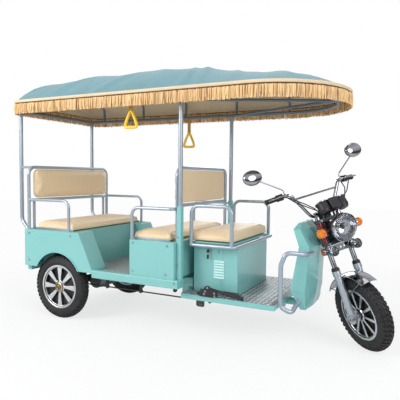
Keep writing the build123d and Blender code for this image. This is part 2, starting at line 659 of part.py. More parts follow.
# -------------------------------------------------------------------- seats
def seat_back(x, low_z, top_z, foot_z, half_width):
    """A tube hoop with a lower bar, standing on two feet."""
    hoop = bent_rod([(x, -half_width, foot_z), (x, -half_width, top_z), (x, half_width, top_z),
                     (x, half_width, foot_z)], TUBE_D, HOOP_R)
    return hoop + rod((x, -half_width, low_z), (x, half_width, low_z), TUBE_D)


def arm_rest(x_back, x_leg, y, top_z, foot_z):
    """An arm tube from the seat back forward and down to its foot."""
    return bent_rod([(x_back, y, top_z), (x_leg, y, top_z), (x_leg, y, foot_z)], ARM_D, ARM_R)


def rear_seat_frame():
    """Back hoop, arms, and the links to the rear posts."""
    foot = TUB_TOP + SEAT_GAP
    frame = seat_back(REAR_BACK_X, BACK_LOW_Z, BACK_TOP_Z, foot, BENCH_HALF_W)
    arm = arm_rest(REAR_BACK_X, REAR_ARM_X, -BENCH_HALF_W, ARM_Z, foot)
    link = rod((REAR_POST_X + POST_D / 2 + SEAT_GAP, -POST_Y, BACK_TOP_Z), (REAR_BACK_X, -POST_Y, BACK_TOP_Z), BOW_D)
    stay = rod((REAR_BACK_X, -POST_Y, BACK_LOW_Z), (REAR_BACK_X, -POST_Y, foot), ARM_D)
    for piece in (arm, link, stay):
        frame += piece + mirror(piece, about=Plane.XZ)
    return frame


def middle_seat_frame():
    """Back hoop of the rear-facing bench, and its arms."""
    foot = BOX_TOP + SEAT_GAP
    frame = seat_back(MIDDLE_BACK_X, BACK_LOW_Z, BACK_TOP_Z, foot, MIDDLE_HALF_W)
    arm_y = -BOX_HALF_W + ARM_INSET
    arm = bent_rod([(MIDDLE_BACK_X, -MIDDLE_HALF_W, MIDDLE_ARM_Z), (MIDDLE_BACK_X, arm_y, MIDDLE_ARM_Z),
                    (BOX_REAR + ARM_INSET, arm_y, MIDDLE_ARM_Z), (BOX_REAR + ARM_INSET, arm_y, foot)],
                   ARM_D, [ARM_D + 3, ARM_R])
    return frame + arm + mirror(arm, about=Plane.XZ)


def cushion(x0, x1, half_width, z0):
    """A firm bench cushion with rounded corners."""
    pad = block(x0, x1, -half_width, half_width, z0, z0 + CUSHION_T)
    return fillet(pad.edges().filter_by(Axis.Z), CUSHION_R)


def back_pad(x0, x1, half_width):
    """An upholstered back, seated between the bars of its hoop."""
    pad = block(x0, x1, -half_width, half_width, BACK_LOW_Z + TUBE_D / 2 + SEAT_GAP,
                BACK_TOP_Z - TUBE_D / 2 - SEAT_GAP)
    return fillet(pad.edges().filter_by(Axis.X), BACK_R)


def driver_seat_rail():
    """Tube frame round the top of the driver's box, with an arm at each side."""
    z = DRIVER_BOX_TOP + SEAT_GAP + TUBE_D / 2
    y = DRIVER_SEAT_HALF_W
    middle = (DRIVER_BOX_REAR + DRIVER_BOX_FRONT) / 2
    rear = DRIVER_BOX_REAR + SHEET
    front = DRIVER_BOX_FRONT + TUBE_D / 2
    rail = bent_rod([(middle, -y, z), (rear, -y, z), (rear, y, z), (middle, y, z)], TUBE_D, RAIL_R)
    rail += bent_rod([(middle, -y, z), (front, -y, z), (front, y, z), (middle, y, z)], TUBE_D, RAIL_R)
    for side in (-1, 1):
        rail += bent_rod([(rear + ARM_INSET, side * y, z), (rear + ARM_INSET, side * y, ARM_Z),
                          (front - 2 * ARM_INSET, side * y, ARM_Z), (front - 2 * ARM_INSET, side * y, z)],
                         TUBE_D, ARM_R)
    return rail


def driver_seat_board():
    """The lid of the driver's box, under the cushion."""
    z = DRIVER_BOX_TOP + TUBE_D + 2 * SEAT_GAP
    board = block(DRIVER_BOX_REAR - DECK_T, DRIVER_BOX_FRONT, -DRIVER_SEAT_HALF_W + BOARD_INSET,
                  DRIVER_SEAT_HALF_W - BOARD_INSET, z, z + BOARD_T)
    return fillet(board.edges().filter_by(Axis.Z), BOARD_INSET)


# ---------------------------------------------------------------- front end
# the shield's plan at five heights: height, rear wall, flank edge, nose,
# half width at the rear and at the nose
SHIELD = [(262.0, 1806.0, 1840.0, 1856.0, 225.0, 80.0),
          (380.0, 1744.0, 1838.0, 1880.0, 235.0, 80.0),
          (664.0, 1790.0, 1856.0, 1890.0, 225.0, 70.0),
          (775.0, 1752.0, 1796.0, 1828.0, 225.0, 70.0),
          (812.0, 1768.0, 1784.0, 1794.0, 150.0, 60.0)]
SHIELD_T = 4.0


def leg_shield():
    """Hollow front shield round the neck, open underneath."""
    def solid(wall):
        faces = []
        for z, rear, flank, nose, wide, narrow in SHIELD:
            if z == SHIELD[0][0]:
                z -= wall
            if z == SHIELD[-1][0]:
                z -= wall
            corners = [(rear + wall, -wide + wall), (flank - wall / 2, -wide + wall),
                       (nose - wall, -narrow), (nose - wall, narrow),
                       (flank - wall / 2, wide - wall), (rear + wall, wide - wall)]
            faces.append(Pos(0, 0, z) * make_face(Polyline(*corners, close=True)))
        return loft(faces, ruled=True)
    shield = solid(0.0) - solid(SHIELD_T)
    shield -= neck(NECK_D + 8)
    for bar in crash_bars(CRASH_D + 2 * SEAT_GAP):
        shield -= bar
    return shield


def crash_bars(diameter):
    """A tube loop at each side of the shield, from the neck round to the neck."""
    side = -NECK_D / 2 + 8
    (top_z, low_z) = CRASH_NECK_Z
    loop = bent_rod([(neck_x(top_z), side, top_z), *CRASH_RUN, (neck_x(low_z), side, low_z)], diameter,
                    CRASH_BENDS)
    return both_sides(loop - neck(NECK_D + 2 * SEAT_GAP))


# ----------------------------------------------------------------- rear end
def rear_axle():
    """Axle tube, gear case, brake back plates and the two stub ends."""
    plate = REAR_TRACK / 2 - BRAKE_INSET
    stub_end = REAR_TRACK / 2 + REAR_HUB_HALF - DECK_T
    half = [(AXLE_TUBE_R, 0), (AXLE_TUBE_R, plate - BRAKE_INSET), (AXLE_TUBE_R + STUB_D / 2, plate - PLATE_T),
            (BRAKE_PLATE_R, plate - PLATE_T), (BRAKE_PLATE_R, plate), (STUB_D / 2, plate),
            (STUB_D / 2, stub_end), (0, stub_end), (0, 0)]
    side = revolve(make_face(Polyline(*half, close=True)), axis=Axis.Y)
    axle = side + mirror(side, about=Plane.XZ)
    case = case_plate(GEAR_Y, GEAR_W, (0, 0, GEAR_R), (MOTOR_X, MOTOR_UP, MOTOR_R))
    axle += fillet(case.edges(), CASE_R)
    axle += case_plate(GEAR_Y, CASE_R, (0, 0, GEAR_R + CASE_R), (MOTOR_X, MOTOR_UP, MOTOR_R + CASE_R))
    return Pos(0, 0, WHEEL_R) * axle


def drive_motor():
    """The drive motor, a ribbed can on the gear case."""
    face = GEAR_Y - GEAR_W / 2 - SEAT_GAP
    centre = Pos(MOTOR_X, face, WHEEL_R + MOTOR_UP) * Rot(90, 0, 0)
    can = Cylinder(MOTOR_R - CASE_R / 2, MOTOR_L)
    can = Pos(0, 0, MOTOR_L / 2) * fillet(can.edges().group_by(Axis.Z)[-1], CASE_R)
    for row in range(MOTOR_RIBS):
        can += Pos(0, 0, MOTOR_RIB_PITCH * (row + 0.5)) * Cylinder(MOTOR_R, MOTOR_RIB_PITCH / 3)
    return centre * can


def leaf_springs():
    """Three-leaf springs clamped over the axle by U-bolts, pinned in hangers under the rails."""
    return [Pos(0, side * REAR_RAIL_Y, 0) * leaf_spring() for side in (-1, 1)]


def leaf_spring():
    """One spring, round the middle of its own width."""
    seat = WHEEL_R + AXLE_TUBE_R + SEAT_GAP
    half_w = LEAF_W / 2
    longest = LEAVES[0]
    spring = block(-LEAF_PAD, LEAF_PAD, -half_w, half_w, seat, seat + LEAF_T + 1)
    for row, half_length in enumerate(reversed(LEAVES)):
        low = seat + 2 + LEAF_T * row
        rise = LEAF_RISE * (half_length / longest) ** 2
        under = ThreePointArc((-half_length, 0, low + rise), (0, 0, low), (half_length, 0, low + rise))
        over = ThreePointArc((-half_length, 0, low + rise + LEAF_T + 0.2), (0, 0, low + LEAF_T + 0.2),
                             (half_length, 0, low + rise + LEAF_T + 0.2))
        leaf = make_face(under + Line(under @ 1, over @ 1) + over + Line(over @ 0, under @ 0))
        spring += extrude(leaf, amount=half_w, both=True, dir=(0, 1, 0))
    top = seat + 2 + LEAF_T * len(LEAVES)
    eye_z = top + LEAF_RISE - EYE_R
    for end in (-1, 1):
        spring += Pos(end * longest, 0, eye_z) * Rot(90, 0, 0) * Cylinder(EYE_R, LEAF_W)
        for side in (-1, 1):
            plate_y = side * (half_w + PLATE_T / 4)
            spring += block(end * longest - EYE_R, end * longest + EYE_R, plate_y - PLATE_T / 4,
                            plate_y + PLATE_T / 4, eye_z - EYE_R, TUB_BOTTOM - RAIL_H - SEAT_GAP)
    # the clamp plate and its U-bolts, round the axle tube
    bolt_y = half_w + UBOLT_D
    bolt_x = AXLE_TUBE_R + SEAT_GAP + UBOLT_D
    bottom = WHEEL_R - AXLE_TUBE_R - SEAT_GAP - UBOLT_D / 2
    spring += block(-bolt_x - UBOLT_D, bolt_x + UBOLT_D, -bolt_y - UBOLT_D, bolt_y + UBOLT_D, top, top + LEAF_T)
    for side in (-1, 1):
        y = side * bolt_y
        spring += bent_rod([(-bolt_x, y, top + LEAF_T), (-bolt_x, y, bottom), (bolt_x, y, bottom),
                            (bolt_x, y, top + LEAF_T)], UBOLT_D, 2 * UBOLT_D)
    return spring


def brake_linkage():
    """Brake rod under the floor with its relay levers, and the parking lever on the floor."""
    y = BRAKE_ROD_Y
    low = BRAKE_ROD_Z
    cam_x, cam_z = BRAKE_CAM
    rod_start = cam_x + 2 * (cam_z - low)
    front_end = FRONT_CROSS_X + RAIL_W / 2
    link = rod((rod_start, y, low), (front_end, y, low), BRAKE_ROD_D)
    link += rod((cam_x, y, cam_z), (rod_start, y, low), BRAKE_ROD_D + 2)
    plate = -(REAR_TRACK / 2 - BRAKE_INSET - PLATE_T - SEAT_GAP)
    link += rod((cam_x, plate, cam_z), (cam_x, y + BRAKE_ROD_D, cam_z), 2 * BRAKE_ROD_D)
    hangers = [(x + RAIL_W / 2, TUB_BOTTOM - RAIL_W) for x in REAR_CROSS_X[1:3]]
    hangers += [(front_end, FRONT_FLOOR_TOP - DECK_T - CROSS_H)]
    for x, top in hangers:
        link += rod((x, y - BRAKE_ROD_D, low), (x, y + BRAKE_ROD_D, low), 2 * BRAKE_ROD_D + 4)
        link += block(x - BRAKE_ROD_D, x + BRAKE_ROD_D, y - BRAKE_ROD_D / 2, y + BRAKE_ROD_D / 2, low, top - SEAT_GAP)
    foot = FRONT_FLOOR_TOP + SEAT_GAP
    pivot_z = foot + LEVER_PIVOT_H
    lever_y = -DRIVER_BOX_HALF_W - LEVER_OUT
    lever = block(LEVER_X - LEVER_PIVOT_H, LEVER_X + LEVER_PIVOT_H, lever_y - LEVER_D / 2, lever_y + LEVER_D / 2,
                  foot, foot + DECK_T)
    lever += case_plate(lever_y, LEVER_D / 2, (LEVER_X, pivot_z, LEVER_D / 2), (LEVER_X, foot + DECK_T, DECK_T / 2))
    lever += rod((LEVER_X, lever_y, pivot_z), (LEVER_X + LEVER_L, lever_y, pivot_z - DECK_T), LEVER_D)
    lever += rod((LEVER_X + LEVER_L * 0.6, lever_y, pivot_z - DECK_T * 0.6),
                 (LEVER_X + LEVER_L, lever_y, pivot_z - DECK_T), LEVER_D + 8)
    lip = FRONT_FLOOR_TOP - FRONT_FLOOR_LIP - SEAT_GAP
    bracket = block(LEVER_X, LEVER_X + RAIL_H, -FRONT_FLOOR_HALF_W, -FRONT_FLOOR_HALF_W + DECK_T, lip - RAIL_W, lip)
    bracket = fillet(bracket.edges().filter_by(Axis.Y).group_by(Axis.Z)[0], LEVER_D)
    return [link, lever, bracket]


# ------------------------------------------------------------------- wheels
def tyre():
    """A round-crowned road tyre, round +Y, with beads on the rim seat."""
    bead = RIM_R + SEAT_GAP
    half_bead = RIM_W / 2 - RIM_WALL - SEAT_GAP
    half = TYRE_W / 2
    crown = WHEEL_R - half
    heel = RIM_FLANGE_R + 2
    waist = (half - SIDEWALL_IN, 0, heel + SIDEWALL_UP)
    side = ThreePointArc((half_bead, 0, heel), waist, (half, 0, crown))
    top = ThreePointArc((half, 0, crown), (0, 0, WHEEL_R), (-half, 0, crown))
    back = ThreePointArc((-half, 0, crown), (-waist[0], 0, waist[2]), (-half_bead, 0, heel))
    base = Polyline((-half_bead, 0, heel), (-half_bead, 0, bead), (half_bead, 0, bead), (half_bead, 0, heel))
    return Rot(0, 0, 90) * revolve(make_face(side + top + back + base), axis=Axis.X)


def spoke_window(spokes, hub_width, rim_width):
    """The opening between two spokes, round the middle of the gap, in the wheel's plane."""
    half_pitch = radians(180 / spokes)
    inner = HUB_R + WINDOW_INSET
    outer = RIM_R - RIM_WALL - WINDOW_INSET / 2

    def half_width(radius, width):
        return radius * sin(half_pitch) / cos(half_pitch) - width / 2 / cos(half_pitch)

    low = half_width(inner, hub_width)
    high = half_width(outer * cos(half_pitch), rim_width)
    reach = sqrt(outer ** 2 - high ** 2)
    window = Polyline((reach, -high), (inner, -low), (inner, low), (reach, high))
    window += ThreePointArc((reach, high), (outer, 0), (reach, -high))
    return fillet(make_face(window).vertices(), WINDOW_R)


def cast_wheel(spokes, spoke_widths, hub_half):
    """A cast wheel round +X: barrel, flanges, a web cut into spokes, and a hub."""
    half = RIM_W / 2
    wall = RIM_R - RIM_WALL
    barrel = Polyline((-half, 0, wall), (-half, 0, RIM_FLANGE_R), (-half + RIM_WALL, 0, RIM_FLANGE_R),
                      (-half + RIM_WALL, 0, RIM_R), (half - RIM_WALL, 0, RIM_R),
                      (half - RIM_WALL, 0, RIM_FLANGE_R), (half, 0, RIM_FLANGE_R), (half, 0, wall), close=True)
    web = Plane.YZ * Circle(wall + 1)
    window = Plane.YZ * spoke_window(spokes, *spoke_widths)
    for turn in range(spokes):
        web -= Rot(90 + 360.0 / spokes * (turn + 0.5), 0, 0) * window
    web = Pos(WEB_IN, 0, 0) * extrude(web, amount=WEB_OUT - WEB_IN, dir=(1, 0, 0))
    return revolve(make_face(barrel), axis=Axis.X) + web + Rot(0, 90, 0) * Cylinder(HUB_R, 2 * hub_half)


def rear_rim():
    """The rear wheel: its casting, round +Y, with the brake drum behind the web."""
    wheel = cast_wheel(REAR_SPOKES, REAR_SPOKE_W, REAR_HUB_HALF)
    drum_l = DRUM_REACH + WEB_IN + 1
    wheel += Pos(WEB_IN + 1 - drum_l / 2, 0, 0) * Rot(0, 90, 0) * Cylinder(DRUM_R, drum_l)
    wheel -= Rot(0, 90, 0) * Cylinder(STUB_D / 2 + RUN_GAP, 4 * REAR_HUB_HALF)
    return Rot(0, 0, 90) * wheel


def front_rim():
    """The front wheel's casting, round +Y."""
    wheel = cast_wheel(FRONT_SPOKES, FRONT_SPOKE_W, FRONT_HUB_HALF)
    wheel -= Rot(0, 90, 0) * Cylinder(FRONT_AXLE_D / 2 + RUN_GAP, 4 * FRONT_HUB_HALF)
    return Rot(0, 0, 90) * wheel


# ----------------------------------------------------------------- steering
# The pieces below are modelled in the steering axis's own frame: X forward,
# Y left, Z up the axis, from STEER_FOOT.
def fork_clamps():
    """Stem, lower and upper fork clamps, each split round its stanchions."""
    stem = rod((0, 0, HEAD_LOW - CLAMP_GAP - CLAMP_T), (0, 0, HEAD_HIGH + CLAMP_GAP + CLAMP_T), STEM_D)
    clamps = stem
    eye_r = STANCHION_D / 2 + CLAMP_WALL
    hole = Cylinder(STANCHION_D / 2 + SEAT_GAP, 4 * CLAMP_T)
    for z in (HEAD_LOW - CLAMP_GAP - CLAMP_T, HEAD_HIGH + CLAMP_GAP):
        plate = make_hull([*Circle(eye_r + 2).edges(),
                           *(Pos(FORK_OFFSET, LEG_SPREAD) * Circle(eye_r)).edges(),
                           *(Pos(FORK_OFFSET, -LEG_SPREAD) * Circle(eye_r)).edges()])
        clamp = Pos(0, 0, z) * fillet(extrude(plate, amount=CLAMP_T).edges(), CLAMP_R)
        for side in (-1, 1):
            clamp -= Pos(FORK_OFFSET, side * LEG_SPREAD, z) * hole
        clamps += clamp
    return clamps


def fork_stanchions():
    """The two bright upper tubes."""
    low = LEG_TOP - LEG_SOCKET + SEAT_GAP
    return both_sides(rod((FORK_OFFSET, -LEG_SPREAD, low), (FORK_OFFSET, -LEG_SPREAD, STANCHION_TOP), STANCHION_D))


def fork_legs():
    """Lower legs: turned slider with a dust collar, and a lug round the axle."""
    radius = LEG_D / 2
    collar = radius + COLLAR_T
    profile = make_face(Polyline(
        (0, LEG_FOOT), (radius - COLLAR_T, LEG_FOOT), (radius, LEG_FOOT + COLLAR_T), (radius, LEG_TOP - COLLAR_H),
        (collar, LEG_TOP - COLLAR_H + COLLAR_T), (collar, LEG_TOP - COLLAR_T), (radius, LEG_TOP),
        (STANCHION_D / 2 + SEAT_GAP, LEG_TOP), (STANCHION_D / 2 + SEAT_GAP, LEG_TOP - LEG_SOCKET),
        (0, LEG_TOP - LEG_SOCKET), close=True))
    leg = Pos(FORK_OFFSET, -LEG_SPREAD, 0) * revolve(Plane.XZ * profile, axis=Axis.Z)
    leg += Pos(FORK_OFFSET, -LEG_SPREAD, AXLE_UP) * Rot(90, 0, 0) * Cylinder(radius + COLLAR_T, LEG_D)
    leg -= Pos(FORK_OFFSET, -LEG_SPREAD, AXLE_UP) * Rot(90, 0, 0) * Cylinder(FRONT_AXLE_D / 2 + RUN_GAP, 3 * LEG_D)
    return both_sides(leg)


def front_axle():
    """The front axle with a nut at each end and a spacer beside the hub."""
    reach = LEG_SPREAD + LEG_D / 2
    axle_end = reach + FRONT_AXLE_D
    axle = rod((FORK_OFFSET, -axle_end, AXLE_UP), (FORK_OFFSET, axle_end, AXLE_UP), FRONT_AXLE_D)
    for side in (-1, 1):
        axle += rod((FORK_OFFSET, side * (reach + SEAT_GAP), AXLE_UP),
                    (FORK_OFFSET, side * (reach + AXLE_NUT_T), AXLE_UP), AXLE_NUT_D)
        axle += rod((FORK_OFFSET, side * (LEG_SPREAD - LEG_D / 2 - SEAT_GAP), AXLE_UP),
                    (FORK_OFFSET, side * (FRONT_HUB_HALF + SEAT_GAP), AXLE_UP), AXLE_NUT_D - DECK_T)
    return axle


def mudguard():
    """A crowned guard over the front tyre, with beaded edges, straps to the legs and wire stays."""
    edge_r = WHEEL_R + GUARD_GAP
    half = LEG_SPREAD - LEG_D / 2 - GUARD_BEAD / 2 - SEAT_GAP

    def crown(rise):
        return ThreePointArc((edge_r + rise - GUARD_CROWN, -half), (edge_r + rise, 0),
                             (edge_r + rise - GUARD_CROWN, half))

    outer = crown(GUARD_T)
    inner = crown(0)
    section = make_face(outer + Line(outer @ 1, inner @ 1) + inner + Line(inner @ 0, outer @ 0))
    for side in (-1, 1):
        section += Pos(edge_r - GUARD_CROWN + GUARD_T / 2, side * half) * Circle(GUARD_BEAD / 2)
    guard = Rot(0, -GUARD_REAR, 0) * revolve(section, axis=Axis.Y, revolution_arc=GUARD_REAR - GUARD_FRONT)
    strap = block(-STRAP_RUN / 2, STRAP_RUN / 2, half - GUARD_T, half, GUARD_STAY_Z, edge_r - GUARD_CROWN + GUARD_T)
    stay_y = half - GUARD_STAY_D / 2
    for turn in (GUARD_FRONT + GUARD_STAY_IN, GUARD_REAR - GUARD_STAY_IN):
        tip_r = edge_r - GUARD_CROWN
        tip = (tip_r * cos(radians(turn)), stay_y, tip_r * sin(radians(turn)))
        strap += rod((0, stay_y, GUARD_STAY_Z + GUARD_STAY_D), tip, GUARD_STAY_D)
    return Pos(FORK_OFFSET, 0, AXLE_UP) * (guard + strap + mirror(strap, about=Plane.XZ))


def headlight():
    """Round lamp: bowl, bezel and domed glass, looking straight ahead, on a cross pin."""
    profile = Polyline((0, 0), (-LAMP_DEPTH, 0), (-LAMP_DEPTH, LAMP_NECK_R), (-0.67 * LAMP_DEPTH, 0.72 * LAMP_R),
                       (-0.29 * LAMP_DEPTH, 0.93 * LAMP_R), (-LAMP_BEZEL, LAMP_R), (0, LAMP_R),
                       (LAMP_DOME / 3, LAMP_R - LAMP_BEZEL / 3), (LAMP_DOME * 0.8, LAMP_R / 2), (LAMP_DOME, 0),
                       close=True)
    lamp_x, lamp_z = LAMP_AT
    lamp = Pos(lamp_x, 0, lamp_z) * Rot(0, RAKE, 0) * revolve(make_face(profile), axis=Axis.X)
    ear = LEG_SPREAD + EAR_IN - SEAT_GAP
    pin_x = lamp_x - 0.57 * LAMP_DEPTH
    return lamp + rod((pin_x, -ear, lamp_z + EAR_R / 2), (pin_x, ear, lamp_z + EAR_R / 2), LAMP_PIN_D)


def bar_point(side, share):
    """A point on the bar's outer run, a share of the way from its bend to its end."""
    return between((BAR_BEND[0], side * BAR_BEND[1], BAR_BEND[2]), (BAR_END[0], side * BAR_END[1], BAR_END[2]), share)


def handlebar():
    """A high bar with its cross brace, risers and brake levers."""
    foot_z = HEAD_HIGH + CLAMP_GAP + CLAMP_T + SEAT_GAP
    bar = bent_rod([bar_point(-1, 1), bar_point(-1, 0), (0, -BAR_FOOT_Y, BAR_FOOT_Z), (0, BAR_FOOT_Y, BAR_FOOT_Z),
                    bar_point(1, 0), bar_point(1, 1)], BAR_D, 2 * BAR_D)
    brace_x, brace_y, brace_z = BAR_BRACE
    bar += rod((brace_x, -brace_y, brace_z), (brace_x, brace_y, brace_z), BRACE_D)
    for side in (-1, 1):
        riser = block(-RISER_RUN, RISER_RUN, side * BAR_FOOT_Y / 2 - RISER_RUN, side * BAR_FOOT_Y / 2 + RISER_RUN,
                      foot_z, BAR_FOOT_Z + BAR_D)
        bar += fillet(riser.edges().filter_by(Axis.Y).group_by(Axis.Z)[-1], RISER_RUN / 2)
        x, y, z = bar_point(side, LEVER_SHARE)
        bar += rod((x - LEVER_PERCH / 2, y, z), (x + LEVER_PERCH, y, z), BAR_D + 2)
        tip_x, tip_y, tip_z = bar_point(side, 0.98)
        bar += bent_rod([(x + LEVER_PERCH / 2, y, z), (x + LEVER_REACH, y + side * LEVER_REACH / 2, z),
                         (tip_x + LEVER_REACH, tip_y, tip_z)], BLADE_D, BAR_D)
    return bar


def grips():
    """Rubber grips with the switch housings beside them."""
    pieces = []
    for side in (-1, 1):
        grip = rod(bar_point(side, GRIP_SHARE), bar_point(side, 1), GRIP_D)
        switch = rod(bar_point(side, GRIP_SHARE), bar_point(side, 2 * GRIP_SHARE), SWITCH_D)
        hole = rod(bar_point(side, 0), bar_point(side, 1), BAR_D + 2 * SEAT_GAP)
        pieces.append(grip + fillet(switch.edges(), SWITCH_D / 10) - hole)
    return pieces


def mirrors():
    """Oval round-backed mirrors on long stems."""
    pieces = []
    half_w, half_h = MIRROR_OVAL
    head_x, head_y, head_z = MIRROR_AT
    for side in (-1, 1):
        x, y, z = bar_point(side, MIRROR_SHARE)
        foot = (x, y, z + BAR_D / 2 + SEAT_GAP)
        neck_point = (head_x + MIRROR_RIM, side * (head_y - half_h * 0.64), head_z - half_h * 0.6)
        stem = bent_rod([foot, (x, y, z + MIRROR_STEM_UP), neck_point], MIRROR_STEM_D, MIRROR_RIM + 4)
        oval = Plane(origin=(head_x, side * head_y, head_z), x_dir=(0, 1, 0), z_dir=(1, 0, 0))
        shell = extrude(oval * Ellipse(half_w, half_h), amount=MIRROR_RIM)
        shell += loft([oval.offset(MIRROR_RIM + depth * MIRROR_DEPTH) * Ellipse(half_w * share, half_h * share)
                       for depth, share in ((0.0, 1.0), (0.55, 0.84), (1.0, 0.45))])
        pieces.append(stem + shell)
    return pieces


def indicators():
    """Amber turn lamps beside the headlight and round reflectors below."""
    x, z = TURN_LAMP_AT
    ear = LEG_SPREAD + EAR_IN + EAR_T + SEAT_GAP
    bulb = make_face(Polyline((0, 0), (TURN_LAMP_R - 4, 0), (TURN_LAMP_R, TURN_LAMP_H / 5),
                              (TURN_LAMP_R, TURN_LAMP_H * 0.67), (TURN_LAMP_R - 8, TURN_LAMP_H - 4),
                              (0, TURN_LAMP_H), close=True))
    lamp = Pos(x, -ear - STALK_D, z) * Rot(90, 0, 0) * revolve(Plane.XZ * bulb, axis=Axis.Z)
    stalk = rod((x, -ear - STALK_D - 2, z), (x, -ear, z), STALK_D)
    edge = BRACKET_HALF_W + SEAT_GAP
    low_z = (BRACKET_LOW + BRACKET_HIGH) / 2
    reflector_x = FORK_OFFSET - 2
    reflector = rod((reflector_x, -edge - REFLECTOR_T, low_z), (reflector_x, -edge, low_z), REFLECTOR_D)
    return both_sides(lamp + stalk) + both_sides(reflector)


def lamp_bracket():
    """Bright bracket under the headlight that carries the two spot lamps."""
    face = FORK_OFFSET + STANCHION_D / 2 + SEAT_GAP
    plate = block(face, face + DECK_T, -BRACKET_HALF_W, BRACKET_HALF_W, BRACKET_LOW, BRACKET_HIGH)
    for side in (-1, 1):
        plate += block(face - LEG_D, face + DECK_T, side * BRACKET_HALF_W, side * (BRACKET_HALF_W - SHEET),
                       BRACKET_LOW, BRACKET_HIGH)
    hole = Rot(0, 90, 0) * Cylinder(BRACKET_HOLE_D / 2, 4 * DECK_T)
    for row in (-1, 0, 1):
        plate -= Pos(face, row * BRACKET_HOLE_D * 2, (BRACKET_LOW + BRACKET_HIGH) / 2) * hole
    return plate


def spot_lamps():
    """Two small round lamps, each a bowl with a rim round its glass."""
    face = FORK_OFFSET + STANCHION_D / 2 + DECK_T + 2 * SEAT_GAP
    depth = SPOT_FACE_X - face
    radius = SPOT_D / 2
    bowl = ThreePointArc((0, radius / 2), (depth / 3, radius * 0.86), (depth * 0.72, radius * 0.95))
    front = Polyline(bowl @ 1, (depth * 0.72, radius), (depth, radius), (depth, 0), (0, 0), bowl @ 0)
    lamp = revolve(make_face(bowl + front), axis=Axis.X)
    return both_sides(Pos(face, -SPOT_Y, SPOT_Z) * lamp)


def gauge(radius, height):
    """A turned instrument pod round Z, wider at its bezel."""
    profile = Polyline((0, -height / 2), (radius * 0.7, -height / 2), (radius * 0.9, -height / 4),
                       (radius * 0.9, height * 0.34), (radius, height * 0.38), (radius, height / 2),
                       (radius * 0.9, height / 2), (radius * 0.86, height * 0.44), (0, height * 0.44), close=True)
    return revolve(Plane.XZ * make_face(profile), axis=Axis.Z)


def instruments():
    """Two round gauges and a square one between them, on one carrier."""
    x, y, z = GAUGE_AT
    pods = Part()
    for side in (-1, 1):
        pods += Pos(x, side * y, z) * Rot(0, -GAUGE_TILT, 0) * gauge(GAUGE_R, GAUGE_H)
    square = Box(GAUGE_H - 10, 2 * (y - GAUGE_R) + 18, GAUGE_H - 4)
    pods += Pos(x + 8, 0, z + 6) * Rot(0, -GAUGE_TILT, 0) * fillet(square.edges(), EAR_T)
    foot = HEAD_HIGH + CLAMP_GAP + CLAMP_T + SEAT_GAP
    arm = BRACE_D - 2
    pods += block(GAUGE_ARM_X, x, -arm, arm, z - GAUGE_H / 2, z - GAUGE_H / 2 + 2 * arm)
    pods += block(GAUGE_ARM_X, GAUGE_ARM_X + 2 * arm, -arm, arm, foot, z - GAUGE_H / 2 + arm)
    return pods


def fork_shrouds():
    """Painted covers round the stanchions, between the clamps, with lamp ears."""
    low = HEAD_LOW - CLAMP_GAP + SEAT_GAP
    high = HEAD_HIGH + CLAMP_GAP - SEAT_GAP
    y = -LEG_SPREAD
    cover = rod((FORK_OFFSET, y, low), (FORK_OFFSET, y, high), LEG_D)
    lamp_x, lamp_z = TURN_LAMP_AT
    edge = y - EAR_IN
    ear = case_plate(edge - EAR_T / 2, EAR_T, (lamp_x - EAR_R, lamp_z, EAR_R), (FORK_OFFSET + EAR_T, lamp_z, EAR_R))
    cover += ear
    cover -= rod((FORK_OFFSET, y, low - 1), (FORK_OFFSET, y, high + 1), STANCHION_D + 2 * SEAT_GAP)
    return both_sides(cover)


def control_cables():
    """Brake, throttle and switch cables from the controls down to the upper clamp."""
    foot_z = HEAD_HIGH + CLAMP_GAP + CLAMP_T + SEAT_GAP
    pieces = []
    for foot_x, foot_y, points, bends in CABLE_RUNS:
        cable = bent_rod([*points, (foot_x, foot_y - 2, foot_z + STEM_D), (foot_x, foot_y, foot_z)], CABLE_D, bends)
        pieces += both_sides(cable)
    return pieces


def hand_straps():
    """Triangular grab handles, each on a belt from its roof rail."""
    pieces = []
    belt_top = RAIL_Z - TUBE_D / 2 - SEAT_GAP
    for side, low in HAND_STRAPS:
        base = low + STRAP_D / 2
        apex = base + STRAP_H
        outline = Polyline((-STRAP_HALF_W, base), (STRAP_HALF_W, base), (STRAP_TIP, apex),
                           (-STRAP_TIP, apex), close=True)
        outer = fillet(make_face(outline).vertices(), STRAP_TIP - 1)
        ring = extrude(outer - offset(outer, -STRAP_D), amount=STRAP_D / 2, both=True)
        belt = Box(BELT_W, BELT_T, belt_top - apex + STRAP_D / 2)
        belt = Pos(0, 0, (belt_top + apex - STRAP_D / 2) / 2) * belt
        handle = Rot(90, 0, 0) * ring + belt
        pieces.append(Pos(HAND_STRAP_X, side * ROOF_RAIL_Y, 0) * handle)
    return pieces


# --------------------------------------------------------------- every node
STEERING = steering_frame()


def steered(pieces):
    """Moves pieces from the steering axis's frame to the vehicle's."""
    group = pieces if isinstance(pieces, list) else [pieces]
    return [STEERING * piece for piece in group]


def front_wheel(shape):
    return steered(Pos(FORK_OFFSET, 0, AXLE_UP) * shape)


def rear_wheel(side, shape):
    return Pos(0, side * REAR_TRACK / 2, WHEEL_R) * Rot(0, 0, 90 - 90 * side) * shape


